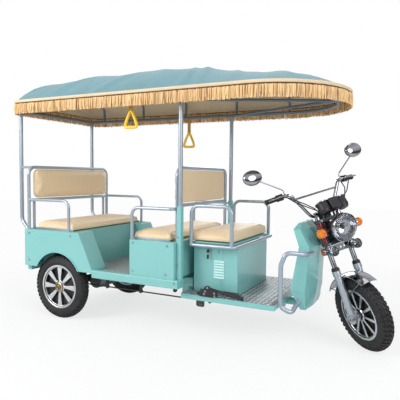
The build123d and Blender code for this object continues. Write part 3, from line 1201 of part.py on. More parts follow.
NODES = {
    "rear_tub": rear_tub(),
    "tail_lamps": tail_lamps(),
    "side_sills": sills(),
    "floor_decks": floor_decks(),
    "middle_seat_box": middle_seat_box(),
    "driver_box": driver_box(),
    "battery_pack": battery(),
    "rear_chassis": rear_chassis(),
    "front_chassis": front_chassis(),
    "roof_posts": roof_posts(),
    "roof_rails": roof_rails(),
    "roof_bows": roof_bows(),
    "canopy": canopy(),
    "fringe": fringe(),
    "rear_seat_frame": rear_seat_frame(),
    "rear_seat_cushion": cushion(REAR_BACK_X + 35, RISER_X - 30, BENCH_HALF_W - SEAT_INSET, TUB_TOP + SEAT_GAP),
    "rear_back_pad": back_pad(REAR_BACK_X - 5, REAR_BACK_X + 45, BENCH_HALF_W - SEAT_INSET),
    "middle_seat_frame": middle_seat_frame(),
    "middle_seat_cushion": cushion(BOX_REAR + 2, MIDDLE_BACK_X - 30, BENCH_HALF_W - SEAT_INSET, BOX_TOP + SEAT_GAP),
    "middle_back_pad": back_pad(MIDDLE_BACK_X - 45, MIDDLE_BACK_X + 5, MIDDLE_HALF_W - BACK_INSET),
    "driver_seat_frame": driver_seat_rail(),
    "driver_seat_board": driver_seat_board(),
    "driver_seat_cushion": cushion(DRIVER_BOX_REAR + 11, DRIVER_BOX_FRONT - 31, DRIVER_SEAT_HALF_W - 27,
                                   DRIVER_BOX_TOP + TUBE_D + BOARD_T + 3 * SEAT_GAP),
    "leg_shield": leg_shield(),
    "crash_bars": crash_bars(CRASH_D),
    "hand_straps": hand_straps(),
    "rear_axle": rear_axle(),
    "drive_motor": drive_motor(),
    "leaf_springs": leaf_springs(),
    "brake_linkage": brake_linkage(),
    "rear_rim_left": rear_wheel(1, rear_rim()),
    "rear_rim_right": rear_wheel(-1, rear_rim()),
    "rear_tyre_left": rear_wheel(1, tyre()),
    "rear_tyre_right": rear_wheel(-1, tyre()),
    "front_rim": front_wheel(front_rim()),
    "front_tyre": front_wheel(tyre()),
    "front_axle": steered(front_axle()),
    "fork_clamps": steered(fork_clamps()),
    "fork_stanchions": steered(fork_stanchions()),
    "fork_legs": steered(fork_legs()),
    "fork_shrouds": steered(fork_shrouds()),
    "mudguard": steered(mudguard()),
    "headlight": steered(headlight()),
    "lamp_bracket": steered(lamp_bracket()),
    "spot_lamps": steered(spot_lamps()),
    "indicators": steered(indicators()),
    "instruments": steered(instruments()),
    "handlebar": steered(handlebar()),
    "grips": steered(grips()),
    "mirrors": steered(mirrors()),
    "control_cables": steered(control_cables()),
}

front_reach = (steering_frame() * Pos(FORK_OFFSET, 0, AXLE_UP)).position.X
lateral_x = sin(radians(STEER_AT_REST)) * cos(radians(RAKE))
front_reach += (WHEEL_R - TYRE_W / 2) * sqrt(1 - lateral_x ** 2) + TYRE_W / 2
ORIGIN_X = (ROOF_REAR + front_reach) / 2

for name, shape in NODES.items():
    pieces = shape if isinstance(shape, list) else [shape]
    moved = [Pos(-ORIGIN_X, 0, 0) * piece for piece in pieces]
    export_step(moved[0] if len(moved) == 1 else Compound(children=moved), f"parts/{name}.step")

print("steering foot", STEER_FOOT_X - ORIGIN_X, STEER_FOOT_Z, "origin x", ORIGIN_X)
wheel = (steering_frame() * Pos(FORK_OFFSET, 0, AXLE_UP)).position
print("front wheel", wheel.X - ORIGIN_X, wheel.Y, wheel.Z)
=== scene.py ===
import json
import random
from math import atan2, ceil, cos, pi, radians, sin, tau

import bmesh
import bpy
from mathutils import Matrix, Vector, noise
from mathutils.bvhtree import BVHTree


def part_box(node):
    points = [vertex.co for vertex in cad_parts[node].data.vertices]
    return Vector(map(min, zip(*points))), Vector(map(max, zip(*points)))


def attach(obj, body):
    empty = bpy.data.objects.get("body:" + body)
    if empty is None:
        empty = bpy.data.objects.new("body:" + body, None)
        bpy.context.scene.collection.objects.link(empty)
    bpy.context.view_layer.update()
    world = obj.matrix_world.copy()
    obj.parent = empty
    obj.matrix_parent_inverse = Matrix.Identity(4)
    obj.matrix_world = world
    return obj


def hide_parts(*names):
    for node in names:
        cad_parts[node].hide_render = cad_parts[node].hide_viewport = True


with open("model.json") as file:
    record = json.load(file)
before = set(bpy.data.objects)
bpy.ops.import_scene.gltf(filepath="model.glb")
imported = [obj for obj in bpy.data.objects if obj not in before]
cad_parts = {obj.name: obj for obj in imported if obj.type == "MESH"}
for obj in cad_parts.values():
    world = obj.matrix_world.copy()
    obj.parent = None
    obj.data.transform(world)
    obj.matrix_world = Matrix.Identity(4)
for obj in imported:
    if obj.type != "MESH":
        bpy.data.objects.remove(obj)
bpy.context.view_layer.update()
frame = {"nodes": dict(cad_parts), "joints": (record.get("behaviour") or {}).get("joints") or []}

# ------------------------------------------------------------------ places
# Metres, in the frame: +X forward, +Y the vehicle's left, +Z up.


def centre(node):
    """Middle of a CAD node's box."""
    low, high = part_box(node)
    return (low + high) / 2


AXLE_X = centre("rear_tyre_right").x
WHEEL_Y = centre("rear_tyre_left").y
TYRE_R = centre("rear_tyre_right").z
SECTION_R = 0.047              # half width of the tyre, and its crown radius
RIM_R = 0.158

STEER = next(joint for joint in frame["joints"] if joint["name"] == "steering_turn")
STEER_AXIS = Vector(STEER["axis"])
PARKED_TURN = radians(-45)     # the front wheel stands turned to the right
STEER_LEAN = atan2(-STEER_AXIS.x, STEER_AXIS.z)
STEERING = (Matrix.Translation(STEER["pos_m"]) @ Matrix.Rotation(-STEER_LEAN, 4, "Y")
            @ Matrix.Rotation(PARKED_TURN, 4, "Z"))
FRONT_AXLE = Vector((0.060, 0.0, -0.023))      # from the steering axis's foot
FRONT_WHEEL = STEERING @ Matrix.Translation(FRONT_AXLE)
LEG_Y = 0.083                  # fork leg from the middle of the fork


def aim(place, direction, roll=(0, 0, 1)):
    """A matrix at a place whose Z runs along a direction, with X level where it can."""
    along = Vector(direction).normalized()
    side = Vector(roll).cross(along)
    if side.length < 1e-4:
        side = Vector((1, 0, 0))
    side.normalize()
    turn = Matrix((side, along.cross(side), along)).transposed()
    return Matrix.Translation(place) @ turn.to_4x4()


def lifted(height):
    """A move along Z."""
    return Matrix.Translation((0, 0, height))


# ------------------------------------------------------------ shader effects
def linear(value):
    """One 8-bit display value as linear light."""
    share = value / 255
    return share / 12.92 if share < 0.04045 else ((share + 0.055) / 1.055) ** 2.4


def rgb(red, green, blue):
    """An 8-bit display colour as the linear value that a shader takes."""
    return (linear(red), linear(green), linear(blue), 1.0)


def add(tree, kind, inputs=None, **settings):
    """Adds a node, sets it, and links or fills its inputs."""
    made = tree.nodes.new("ShaderNode" + kind)
    for name, value in settings.items():
        setattr(made, name, value)
    for key, value in (inputs or {}).items():
        socket = made.inputs[key]
        if isinstance(value, bpy.types.NodeSocket):
            tree.links.new(value, socket)
        else:
            socket.default_value = value
    return made


def effect(name, inputs, outputs):
    """Starts a shader node group with named sockets."""
    tree = bpy.data.node_groups.new(name, "ShaderNodeTree")
    for label, kind, value in inputs:
        socket = tree.interface.new_socket(label, in_out="INPUT", socket_type="NodeSocket" + kind)
        socket.default_value = value
    for label, kind in outputs:
        tree.interface.new_socket(label, in_out="OUTPUT", socket_type="NodeSocket" + kind)
    return tree, tree.nodes.new("NodeGroupInput").outputs, tree.nodes.new("NodeGroupOutput").inputs


def object_point(tree, stretch=(1, 1, 1)):
    """Object coordinates, stretched along the axes."""
    place = add(tree, "TexCoord").outputs["Object"]
    return add(tree, "Mapping", {"Vector": place, "Scale": stretch}).outputs[0]


def between(tree, value, low, high, start, end):
    """Maps a value from one range to another, clamped."""
    return add(tree, "MapRange", {"Value": value, "From Min": low, "From Max": high,
                                  "To Min": start, "To Max": end}).outputs[0]


def calculate(tree, operation, *values):
    """The result of a Math node."""
    return add(tree, "Math", dict(enumerate(values)), operation=operation).outputs[0]


def cloud(tree, scale, detail=2.0, stretch=(1, 1, 1), roughness=0.5):
    """Noise over Object coordinates."""
    return add(tree, "TexNoise", {"Vector": object_point(tree, stretch), "Scale": scale, "Detail": detail,
                                  "Roughness": roughness}).outputs["Fac"]


def make_mottle():
    """Slow, slight changes of a colour's depth."""
    tree, given, out = effect("mottle", [("Color", "Color", (1, 1, 1, 1)), ("Scale", "Float", 6.0),
                                         ("Amount", "Float", 0.1)], [("Color", "Color")])
    swing = calculate(tree, "SUBTRACT", cloud(tree, given["Scale"], 5.0), 0.5)
    depth = calculate(tree, "MULTIPLY_ADD", swing, given["Amount"], 1.0)
    tinted = add(tree, "HueSaturation", {"Color": given["Color"], "Value": depth})
    tree.links.new(tinted.outputs[0], out["Color"])
    return tree


def make_dust():
    """Road dust that thins out upwards."""
    tree, given, out = effect("dust", [("Color", "Color", (1, 1, 1, 1)),
                                       ("Dust", "Color", rgb(150, 140, 125)),
                                       ("Top", "Float", 0.5), ("Amount", "Float", 0.3)],
                              [("Color", "Color"), ("Mask", "Float")])
    height = add(tree, "SeparateXYZ", {0: object_point(tree)}).outputs["Z"]
    fade = between(tree, height, 0.0, given["Top"], 1.0, 0.0)
    patchy = between(tree, cloud(tree, 22.0, 8.0), 0.35, 0.75, 0.0, 1.0)
    mask = calculate(tree, "MULTIPLY", calculate(tree, "MULTIPLY", fade, patchy), given["Amount"])
    mixed = add(tree, "Mix", {"Factor": mask, "A": given["Color"], "B": given["Dust"]}, data_type="RGBA")
    tree.links.new(mixed.outputs["Result"], out["Color"])
    tree.links.new(mask, out["Mask"])
    return tree


def make_relief(name, pattern):
    """A relief group: Scale in, Height and Mask out."""
    tree, given, out = effect(name, [("Scale", "Float", 100.0)], [("Height", "Float"), ("Mask", "Float")])
    height, mask = pattern(tree, given["Scale"])
    tree.links.new(height, out["Height"])
    tree.links.new(mask, out["Mask"])
    return tree


def peel_pattern(tree, scale):
    """The fine waviness of sprayed paint."""
    waves = cloud(tree, scale, 1.0)
    return waves, waves


def hide_pattern(tree, scale):
    """Pebbled grain of coated upholstery."""
    cells = add(tree, "TexVoronoi", {"Vector": object_point(tree), "Scale": scale}, feature="SMOOTH_F1")
    pebble = cells.outputs["Distance"]
    return calculate(tree, "ADD", pebble, cloud(tree, 14.0, 4.0)), between(tree, pebble, 0.1, 0.7, 0.0, 1.0)


def weave_pattern(tree, scale):
    """Plain weave: two sets of threads across each other."""
    threads = [add(tree, "TexWave", {"Vector": object_point(tree), "Scale": scale, "Distortion": 0.6,
                                     "Detail": 1.0}, bands_direction=direction).outputs["Fac"]
               for direction in ("X", "Y")]
    return calculate(tree, "MAXIMUM", *threads), cloud(tree, 60.0, 3.0, (1, 9, 1))


def brushed_pattern(tree, scale):
    """Fine lines left by turning or brushing."""
    lines = cloud(tree, scale, 3.0, (1, 1, 14))
    return lines, between(tree, lines, 0.4, 0.6, 0.0, 1.0)


def cast_pattern(tree, scale):
    """Grain of cast metal or moulded rubber."""
    grain = cloud(tree, scale, 8.0, roughness=0.7)
    return grain, between(tree, grain, 0.35, 0.65, 0.0, 1.0)


def fibre_pattern(tree, scale):
    """Long upright fibres."""
    lines = cloud(tree, scale, 4.0, (1, 1, 0.06))
    return lines, between(tree, lines, 0.35, 0.65, 0.0, 1.0)


def make_scuffs():
    """Sparse thin scratches."""
    tree, given, out = effect("scuffs", [("Scale", "Float", 9.0), ("Amount", "Float", 0.3)],
                              [("Mask", "Float")])
    thin = between(tree, cloud(tree, given["Scale"], 6.0, (1, 16, 3)), 0.66, 0.72, 0.0, 1.0)
    where = between(tree, cloud(tree, 3.0), 0.5, 0.65, 0.0, 1.0)
    mask = calculate(tree, "MULTIPLY", calculate(tree, "MULTIPLY", thin, where), given["Amount"])
    tree.links.new(mask, out["Mask"])
    return tree


MOTTLE = make_mottle()
DUST = make_dust()
SCUFFS = make_scuffs()
RELIEFS = {
    "peel": make_relief("paint_peel", peel_pattern),
    "hide": make_relief("vinyl_grain", hide_pattern),
    "weave": make_relief("plain_weave", weave_pattern),
    "brushed": make_relief("brushed_lines", brushed_pattern),
    "cast": make_relief("cast_grain", cast_pattern),
    "fibre": make_relief("upright_fibre", fibre_pattern),
}


# ---------------------------------------------------------------- materials
def finish(name, colour, roughness, relief, scale, depth, mottle=(6.0, 0.12), dust=0.0, dust_top=0.5,
           scuff=0.0, rough_swing=0.08, shade=0.0, tone_and_light=None, **sockets):
    """A material: mottled colour, dust, scuffs, and a relief that also moves its roughness.

    shade paints shade into the relief's low places as a darker copy of the colour; the next argument names
    a colour attribute that multiplies the colour, for the straw its strands' own tones with painted highlight
    and painted shade among them; the rest are constants for the shader's own sockets."""
    material = bpy.data.materials.new(name)
    material.use_nodes = True
    tree = material.node_tree
    shader = tree.nodes["Principled BSDF"]
    for socket, value in sockets.items():
        shader.inputs[socket.replace("_", " ")].default_value = value
    pattern = add(tree, "Group", node_tree=RELIEFS[relief])
    pattern.inputs["Scale"].default_value = scale
    mottled = add(tree, "Group", {}, node_tree=MOTTLE)
    mottled.inputs["Color"].default_value = colour
    mottled.inputs["Scale"].default_value = mottle[0]
    mottled.inputs["Amount"].default_value = mottle[1]
    shown = mottled.outputs["Color"]
    # painted shade: the relief's low places take a darker copy of the colour
    if shade:
        painted_shade_share = between(tree, pattern.outputs["Mask"], 0.0, 1.0, shade, 0.0)
        painted_shade_colour = tuple(c * 0.35 for c in colour[:3]) + (1.0,)
        shown = add(tree, "Mix", {"Factor": painted_shade_share, "A": shown, "B": painted_shade_colour},
                    data_type="RGBA").outputs["Result"]
    # the strands' colour attribute: their own tone of straw, together with painted highlight and painted
    # shade among the strands
    if tone_and_light:
        strand = add(tree, "Attribute", attribute_name=tone_and_light)
        shown = add(tree, "Mix", {"Factor": 1.0, "A": shown, "B": strand.outputs["Color"]},
                    data_type="RGBA", blend_type="MULTIPLY").outputs["Result"]
    rough = between(tree, pattern.outputs["Mask"], 0.0, 1.0, roughness - rough_swing, roughness + rough_swing)
    if scuff:
        marks = add(tree, "Group", node_tree=SCUFFS)
        marks.inputs["Amount"].default_value = scuff
        pale = tuple(min(1.0, c * 0.6 + 0.3) for c in colour[:3]) + (1.0,)
        shown = add(tree, "Mix", {"Factor": marks.outputs["Mask"], "A": shown, "B": pale},
                    data_type="RGBA").outputs["Result"]
        rough = calculate(tree, "ADD", rough, marks.outputs["Mask"])
    if dust:
        road = add(tree, "Group", {"Color": shown}, node_tree=DUST)
        road.inputs["Top"].default_value = dust_top
        road.inputs["Amount"].default_value = dust
        shown = road.outputs["Color"]
        rough = calculate(tree, "ADD", rough, road.outputs["Mask"])
    tree.links.new(shown, shader.inputs["Base Color"])
    tree.links.new(rough, shader.inputs["Roughness"])
    bump = add(tree, "Bump", {"Height": pattern.outputs["Height"], "Strength": 1.0, "Distance": depth})
    tree.links.new(bump.outputs["Normal"], shader.inputs["Normal"])
    return material


PAINT = finish("mint_paint", rgb(126, 190, 187), 0.34, "peel", 220.0, 0.00006, mottle=(2.5, 0.05),
               dust=0.18, dust_top=0.42, scuff=0.12, Coat_Weight=0.5, Coat_Roughness=0.12)
TUBE_PAINT = finish("silver_tube_paint", rgb(168, 180, 192), 0.34, "peel", 900.0, 0.00003, mottle=(5.0, 0.08),
                    dust=0.1, scuff=0.15, Metallic=0.55, Coat_Weight=0.4, Coat_Roughness=0.15)
ROOF_TUBE_PAINT = finish("grey_tube_paint", rgb(108, 118, 126), 0.4, "peel", 900.0, 0.00003,
                         mottle=(5.0, 0.1), scuff=0.15, Metallic=0.4)
CANVAS = finish("coated_canvas", rgb(99, 146, 156), 0.72, "weave", 520.0, 0.00022, mottle=(3.0, 0.16),
                shade=0.10, Sheen_Weight=0.25, Sheen_Roughness=0.5)
LINING = finish("tan_lining", rgb(205, 186, 158), 0.8, "weave", 600.0, 0.0002, mottle=(3.0, 0.12), shade=0.12)
PIPING = finish("cream_piping", rgb(232, 208, 172), 0.7, "weave", 700.0, 0.0003, mottle=(20.0, 0.12),
                shade=0.2)
STRAW = finish("raffia", rgb(250, 214, 160), 0.62, "fibre", 420.0, 0.0005, mottle=(40.0, 0.25), shade=0.35,
               tone_and_light="strand_tone_and_light", Sheen_Weight=0.15)
VINYL = finish("tan_vinyl", rgb(238, 211, 172), 0.48, "hide", 330.0, 0.00018, mottle=(4.0, 0.07), shade=0.12,
               Sheen_Weight=0.12, Coat_Weight=0.12, Coat_Roughness=0.35)
YELLOW = finish("yellow_handle", rgb(246, 196, 12), 0.35, "cast", 500.0, 0.00005, mottle=(20.0, 0.1),
                Coat_Weight=0.3)
BELT = finish("handle_belt", rgb(206, 160, 78), 0.75, "weave", 900.0, 0.0002, shade=0.25)
BLACK_PLASTIC = finish("black_plastic", rgb(34, 34, 38), 0.46, "cast", 650.0, 0.0001, mottle=(9.0, 0.3),
                       scuff=0.1)
BLACK_PAINT = finish("black_chassis_paint", rgb(30, 31, 33), 0.42, "peel", 260.0, 0.0001, mottle=(8.0, 0.4),
                     dust=0.4, dust_top=0.55, scuff=0.2)
MOTOR_CASE = finish("motor_casting", rgb(150, 152, 154), 0.5, "cast", 300.0, 0.0003, mottle=(9.0, 0.25),
                    dust=0.35, Metallic=0.8)
ALLOY = finish("machined_alloy", rgb(222, 225, 228), 0.26, "brushed", 240.0, 0.00004, mottle=(9.0, 0.12),
               dust=0.15, scuff=0.15, rough_swing=0.1, Metallic=0.95)
RIM_BLACK = finish("rim_pocket_paint", rgb(28, 28, 31), 0.34, "cast", 500.0, 0.00005, mottle=(9.0, 0.3),
                   dust=0.3)
FORK_ALLOY = finish("fork_casting", rgb(186, 192, 200), 0.33, "cast", 420.0, 0.00008, mottle=(9.0, 0.12),
                    dust=0.12, Metallic=0.75, Coat_Weight=0.3)
RUBBER = finish("tyre_rubber", rgb(27, 27, 30), 0.6, "cast", 380.0, 0.0003, mottle=(14.0, 0.3), dust=0.10,
                dust_top=0.4, rough_swing=0.12)
GRIP = finish("grip_rubber", rgb(32, 32, 35), 0.6, "cast", 800.0, 0.0002, mottle=(30.0, 0.3))
STEEL = finish("zinc_steel", rgb(176, 180, 186), 0.34, "brushed", 300.0, 0.00005, mottle=(12.0, 0.2),
               dust=0.15, scuff=0.2, Metallic=0.95)
CHROME = finish("chrome", rgb(163, 165, 170), 0.09, "peel", 60.0, 0.00002, mottle=(6.0, 0.05),
                rough_swing=0.03, dust=0.08, Metallic=1.0)
CLAMP = finish("clamp_paint", rgb(70, 72, 76), 0.35, "cast", 500.0, 0.00008, mottle=(12.0, 0.25),
               Metallic=0.5)
RED = finish("dark_red_paint", rgb(118, 18, 26), 0.25, "peel", 300.0, 0.00003, mottle=(8.0, 0.15),
             Coat_Weight=0.7, Coat_Roughness=0.08)
AMBER = finish("amber_lens", rgb(250, 140, 22), 0.16, "peel", 40.0, 0.0001, mottle=(30.0, 0.15),
               rough_swing=0.05, Transmission_Weight=0.25, IOR=1.49, Coat_Weight=0.5)
REFLECTOR = finish("red_orange_reflector", rgb(214, 92, 18), 0.22, "hide", 420.0, 0.0004, mottle=(30.0, 0.2),
                   shade=0.3, Coat_Weight=0.6)
BRONZE = finish("bronze_cap", rgb(138, 112, 62), 0.38, "brushed", 400.0, 0.0001, mottle=(40.0, 0.3),
                Metallic=0.85)
# Painted light on the tread plate: the bar tops are paler and the plate between them darker than their one
# metal, a painted highlight on the bars and painted shade on the plate.
TREAD_PLATE = finish("tread_plate", rgb(128, 133, 136), 0.45, "brushed", 140.0, 0.0001, mottle=(8.0, 0.2),
                     dust=0.25, dust_top=0.5, scuff=0.35, rough_swing=0.12, Metallic=0.45)
PAINTED_HIGHLIGHT_BAR = finish("bar_tops_painted_highlight", rgb(226, 229, 230), 0.3, "brushed", 200.0, 0.00005, mottle=(30.0, 0.15),
                  dust=0.15, scuff=0.2, Metallic=0.3)
HEADING = finish("fringe_heading", rgb(92, 66, 44), 0.8, "weave", 700.0, 0.0004, mottle=(60.0, 0.3),
                 shade=0.3)
BATTERY_CASE = finish("battery_case", rgb(48, 50, 54), 0.5, "cast", 500.0, 0.0001, mottle=(7.0, 0.25))
MIRROR_GLASS = finish("mirror_glass", rgb(225, 230, 235), 0.03, "peel", 20.0, 0.00001, mottle=(4.0, 0.03),
                      rough_swing=0.01, Metallic=1.0)
DIAL = finish("dial_face", rgb(26, 28, 32), 0.4, "cast", 500.0, 0.00004, mottle=(30.0, 0.3))
DIAL_MARK = finish("dial_marks", rgb(232, 232, 226), 0.5, "cast", 500.0, 0.00002, mottle=(60.0, 0.1))


def clear_glass(name, roughness):
    """Clear glass with slight waviness."""
    material = bpy.data.materials.new(name)
    material.use_nodes = True
    tree = material.node_tree
    shader = tree.nodes["Principled BSDF"]
    shader.inputs["Base Color"].default_value = (0.97, 0.98, 0.99, 1.0)
    shader.inputs["Transmission Weight"].default_value = 1.0
    shader.inputs["IOR"].default_value = 1.3
    shader.inputs["Metallic"].default_value = 0.0
    waves = cloud(tree, 30.0)
    rough = between(tree, waves, 0.3, 0.7, roughness * 0.6, roughness * 1.4)
    tree.links.new(rough, shader.inputs["Roughness"])
    bump = add(tree, "Bump", {"Height": waves, "Strength": 0.4, "Distance": 0.0006})
    tree.links.new(bump.outputs["Normal"], shader.inputs["Normal"])
    return material


LAMP_GLASS = clear_glass("lamp_glass", 0.03)
BULB = finish("frosted_bulb", rgb(250, 244, 228), 0.3, "peel", 60.0, 0.00002, mottle=(30.0, 0.05))
RED_LENS = finish("red_lens", rgb(196, 20, 22), 0.16, "hide", 260.0, 0.0003, mottle=(30.0, 0.15),
                  rough_swing=0.05, Transmission_Weight=0.2, IOR=1.49, Coat_Weight=0.5)


# ------------------------------------------------------------- shape makers
def as_mesh(bm, material=0):
    """Ends a bmesh as a plain mesh with outward faces."""
    bmesh.ops.recalc_face_normals(bm, faces=bm.faces)
    for face in bm.faces:
        face.material_index = material
    mesh = bpy.data.meshes.new("shape")
    bm.to_mesh(mesh)
    bm.free()
    return mesh


def painted(mesh, material):
    """Gives all of a shape the material of this number."""
    mesh.polygons.foreach_set("material_index", [material] * len(mesh.polygons))
    return mesh


def lathe(profile, steps=32, material=0):
    """Spins (radius, height) points round Z."""
    bm = bmesh.new()
    chain = [bm.verts.new((radius, 0, height)) for radius, height in profile]
    edges = [bm.edges.new(pair) for pair in zip(chain, chain[1:])]
    bmesh.ops.spin(bm, geom=chain + edges, cent=(0, 0, 0), axis=(0, 0, 1), angle=tau, steps=steps,
                   use_merge=True, use_duplicate=False)
    bmesh.ops.remove_doubles(bm, verts=bm.verts, dist=1e-6)
    return as_mesh(bm, material)


def brick(size, round_by=0.0):
    """A block with rounded edges, centred."""
    bm = bmesh.new()
    bmesh.ops.create_cube(bm, size=1.0)
    bmesh.ops.scale(bm, vec=size, verts=bm.verts)
    if round_by:
        bmesh.ops.bevel(bm, geom=bm.edges, offset=round_by, segments=2, profile=0.5,
                        affect="EDGES", material=-1, clamp_overlap=True)
    return as_mesh(bm)


def plate(outline, thickness, round_by=0.0, corner_r=0.0, material=0):
    """A flat plate from an outline in X and Y, rising from Z 0, with rounded corners and edges."""
    bm = bmesh.new()
    corners = [bm.verts.new((x, y, 0)) for x, y in outline]
    bm.faces.new(corners)
    if corner_r:
        bmesh.ops.bevel(bm, geom=bm.verts[:], offset=corner_r, segments=5, profile=0.5,
                        affect="VERTICES", material=-1, clamp_overlap=True)
    raised = bmesh.ops.extrude_face_region(bm, geom=bm.faces[:])
    top = [item for item in raised["geom"] if isinstance(item, bmesh.types.BMVert)]
    bmesh.ops.translate(bm, vec=(0, 0, thickness), verts=top)
    if round_by:
        rim = [edge for edge in bm.edges if min(vert.co.z for vert in edge.verts) > thickness / 2]
        bmesh.ops.bevel(bm, geom=rim, offset=round_by, segments=2, profile=0.5, affect="EDGES",
                        material=-1, clamp_overlap=True)
    return as_mesh(bm, material)


def oblong(half_x, half_y):
    """The outline of a rectangle about the origin."""
    return [(-half_x, -half_y), (half_x, -half_y), (half_x, half_y), (-half_x, half_y)]


def tube(points, diameter, sides=10, material=0, closed=False):
    """A round bar or cable along a smooth line through or near some points."""
    curve = bpy.data.curves.new("route", "CURVE")
    curve.dimensions = "3D"
    spline = curve.splines.new("NURBS")
    spline.points.add(len(points) - 1)
    for knot, point in zip(spline.points, points):
        knot.co = (*point, 1.0)
    spline.order_u = min(3, len(points))
    spline.use_endpoint_u = not closed
    spline.use_cyclic_u = closed
    spline.resolution_u = 6
    curve.bevel_depth = diameter / 2
    curve.bevel_resolution = max(0, sides // 2 - 2)
    curve.use_fill_caps = not closed
    holder = bpy.data.objects.new("route", curve)
    mesh = bpy.data.meshes.new_from_object(holder)
    bpy.data.objects.remove(holder)
    bpy.data.curves.remove(curve)
    mesh.materials.clear()
    return painted(mesh, material)


class Piece:
    """One piece of the finished model, gathered from shapes."""

    def __init__(self, name, *materials):
        """Starts an empty piece; shapes name its materials by number."""
        self.name = name
        self.materials = materials
        self.bm = bmesh.new()

    def put(self, mesh, *places):
        """Adds a shape once at each place."""
        for place in places or (Matrix(),):
            mesh.transform(place)
            self.bm.from_mesh(mesh)
            mesh.transform(place.inverted())
        return self

    def done(self, body, slot, replaces=(), sharp=38):
        """Ends the piece: it rides on its body; slot is not used."""
        mesh = bpy.data.meshes.new(self.name)
        self.bm.to_mesh(mesh)
        self.bm.free()
        for material in self.materials:
            mesh.materials.append(material)
        mesh.shade_smooth()
        mesh.set_sharp_from_angle(angle=radians(sharp))
        made = bpy.data.objects.new(self.name, mesh)
        bpy.context.scene.collection.objects.link(made)
        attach(made, body)
        if replaces:
            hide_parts(*replaces)
        return made


def single(name, material, shape, body, slot, places=(), replaces=(), sharp=38):
    """A piece of one material made of one shape at some places."""
    return Piece(name, material).put(shape, *places).done(body, slot, replaces, sharp)


def node_tree(node):
    """A CAD node's surface, to be met by rays."""
    mesh = frame["nodes"][node].data
    places = [vert.co for vert in mesh.vertices]
    return BVHTree.FromPolygons(places, [face.vertices for face in mesh.polygons])


def surface(node, way=(0, 0, -1), start=4.0):
    """A function that gives where a line along way, through a place, first meets a CAD node."""
    tree = node_tree(node)
    along = Vector(way)
    return lambda place: tree.ray_cast(Vector(place) - along * start, along)[0]


# --------------------------------------------------- camera, floor and light
CAMERA_AT = (1.5716, -3.0940, 1.1074)
CAMERA_TURN = radians(26.37)
CAMERA_DOWN = radians(3.45)
CAMERA_ROLL = radians(0.63)
LENS = 41.33
FRAME_SHIFT = (-0.0077, 0.0092)


def make_camera():
    """A level view from ahead of the right side."""
    data = bpy.data.cameras.new("camera")
    data.lens = LENS
    data.shift_x, data.shift_y = FRAME_SHIFT
    made = bpy.data.objects.new("camera", data)
    turned = Matrix.Rotation(CAMERA_TURN, 4, "Z") @ Matrix.Rotation(pi / 2 - CAMERA_DOWN, 4, "X")
    made.matrix_world = Matrix.Translation(CAMERA_AT) @ turned @ Matrix.Rotation(CAMERA_ROLL, 4, "Z")
    bpy.context.scene.collection.objects.link(made)
    bpy.context.scene.camera = made


def seen_directly(tree):
    """1 for rays that reach the eye straight or through glass."""
    path = add(tree, "LightPath").outputs
    return calculate(tree, "MAXIMUM", path["Is Camera Ray"], path["Is Transmission Ray"])


FLOOR_HALF = 14.0
SHADOW_NEAR = 1.9              # the floor's shading fades to plain white between these
SHADOW_FAR = 3.6
FLOOR_LIFT = 0.74              # how much of the seen floor is plain white
FLOOR_GREY = (0.84, 0.84, 0.84, 1.0)
FLOOR_WHITE = (0.98, 0.98, 0.98, 1.0)


def make_floor():
    """A plain white floor that keeps the vehicle's soft shadow."""
    bm = bmesh.new()
    bmesh.ops.create_grid(bm, x_segments=1, y_segments=1, size=FLOOR_HALF)
    mesh = as_mesh(bm)
    if mesh.polygons[0].normal.z < 0:
        mesh.flip_normals()
    floor = bpy.data.objects.new("floor", mesh)
    bpy.context.scene.collection.objects.link(floor)
    material = bpy.data.materials.new("white_floor")
    material.use_nodes = True
    tree = material.node_tree
    tree.nodes.clear()
    rough = between(tree, cloud(tree, 2.0), 0.3, 0.7, 0.4, 0.6)
    matt = add(tree, "BsdfDiffuse", {"Color": FLOOR_GREY, "Roughness": rough}).outputs[0]
    white = add(tree, "Emission", {"Color": FLOOR_WHITE, "Strength": 1.0}).outputs[0]
    away = add(tree, "VectorMath", {0: object_point(tree)}, operation="LENGTH").outputs["Value"]
    far = between(tree, away, SHADOW_NEAR, SHADOW_FAR, FLOOR_LIFT, 1.0)
    share = calculate(tree, "MULTIPLY", far, seen_directly(tree))
    mixed = add(tree, "MixShader", {0: share, 1: matt, 2: white}).outputs[0]
    end = add(tree, "OutputMaterial")
    tree.links.new(mixed, end.inputs["Surface"])
    mesh.materials.append(material)


WORLD_GREY = 0.62
# height of a reflected ray, and the grey that it meets there
REFLECTED = [(0.0, 0.40), (0.42, 0.34), (0.50, 0.05), (0.57, 0.10), (0.62, 0.50), (0.76, 0.92), (1.0, 0.45)]


def make_world():
    """Pale surroundings: white where they are seen, softer as light, banded in mirrors."""
    world = bpy.data.worlds.new("studio")
    bpy.context.scene.world = world
    world.use_nodes = True
    tree = world.node_tree
    tree.nodes.clear()
    soft = add(tree, "Background", {"Color": (0.93, 0.96, 1.0, 1.0), "Strength": WORLD_GREY}).outputs[0]
    white = add(tree, "Background", {"Color": (1.0, 1.0, 1.0, 1.0), "Strength": 1.0}).outputs[0]
    ray = add(tree, "TexCoord").outputs["Generated"]
    height = between(tree, add(tree, "SeparateXYZ", {0: ray}).outputs["Z"], -1.0, 1.0, 0.0, 1.0)
    ramp = add(tree, "ValToRGB", {"Fac": height})
    for place, grey in REFLECTED[1:-1]:
        ramp.color_ramp.elements.new(place)
    for stop, (place, grey) in zip(ramp.color_ramp.elements, REFLECTED):
        stop.position = place
        stop.color = (grey, grey, grey * 1.02, 1.0)
    banded = add(tree, "Background", {"Color": ramp.outputs["Color"], "Strength": 1.0}).outputs[0]
    path = add(tree, "LightPath").outputs
    around = add(tree, "MixShader", {0: path["Is Glossy Ray"], 1: soft, 2: banded}).outputs[0]
    mixed = add(tree, "MixShader", {0: seen_directly(tree), 1: around, 2: white}).outputs[0]
    end = add(tree, "OutputWorld")
    tree.links.new(mixed, end.inputs["Surface"])


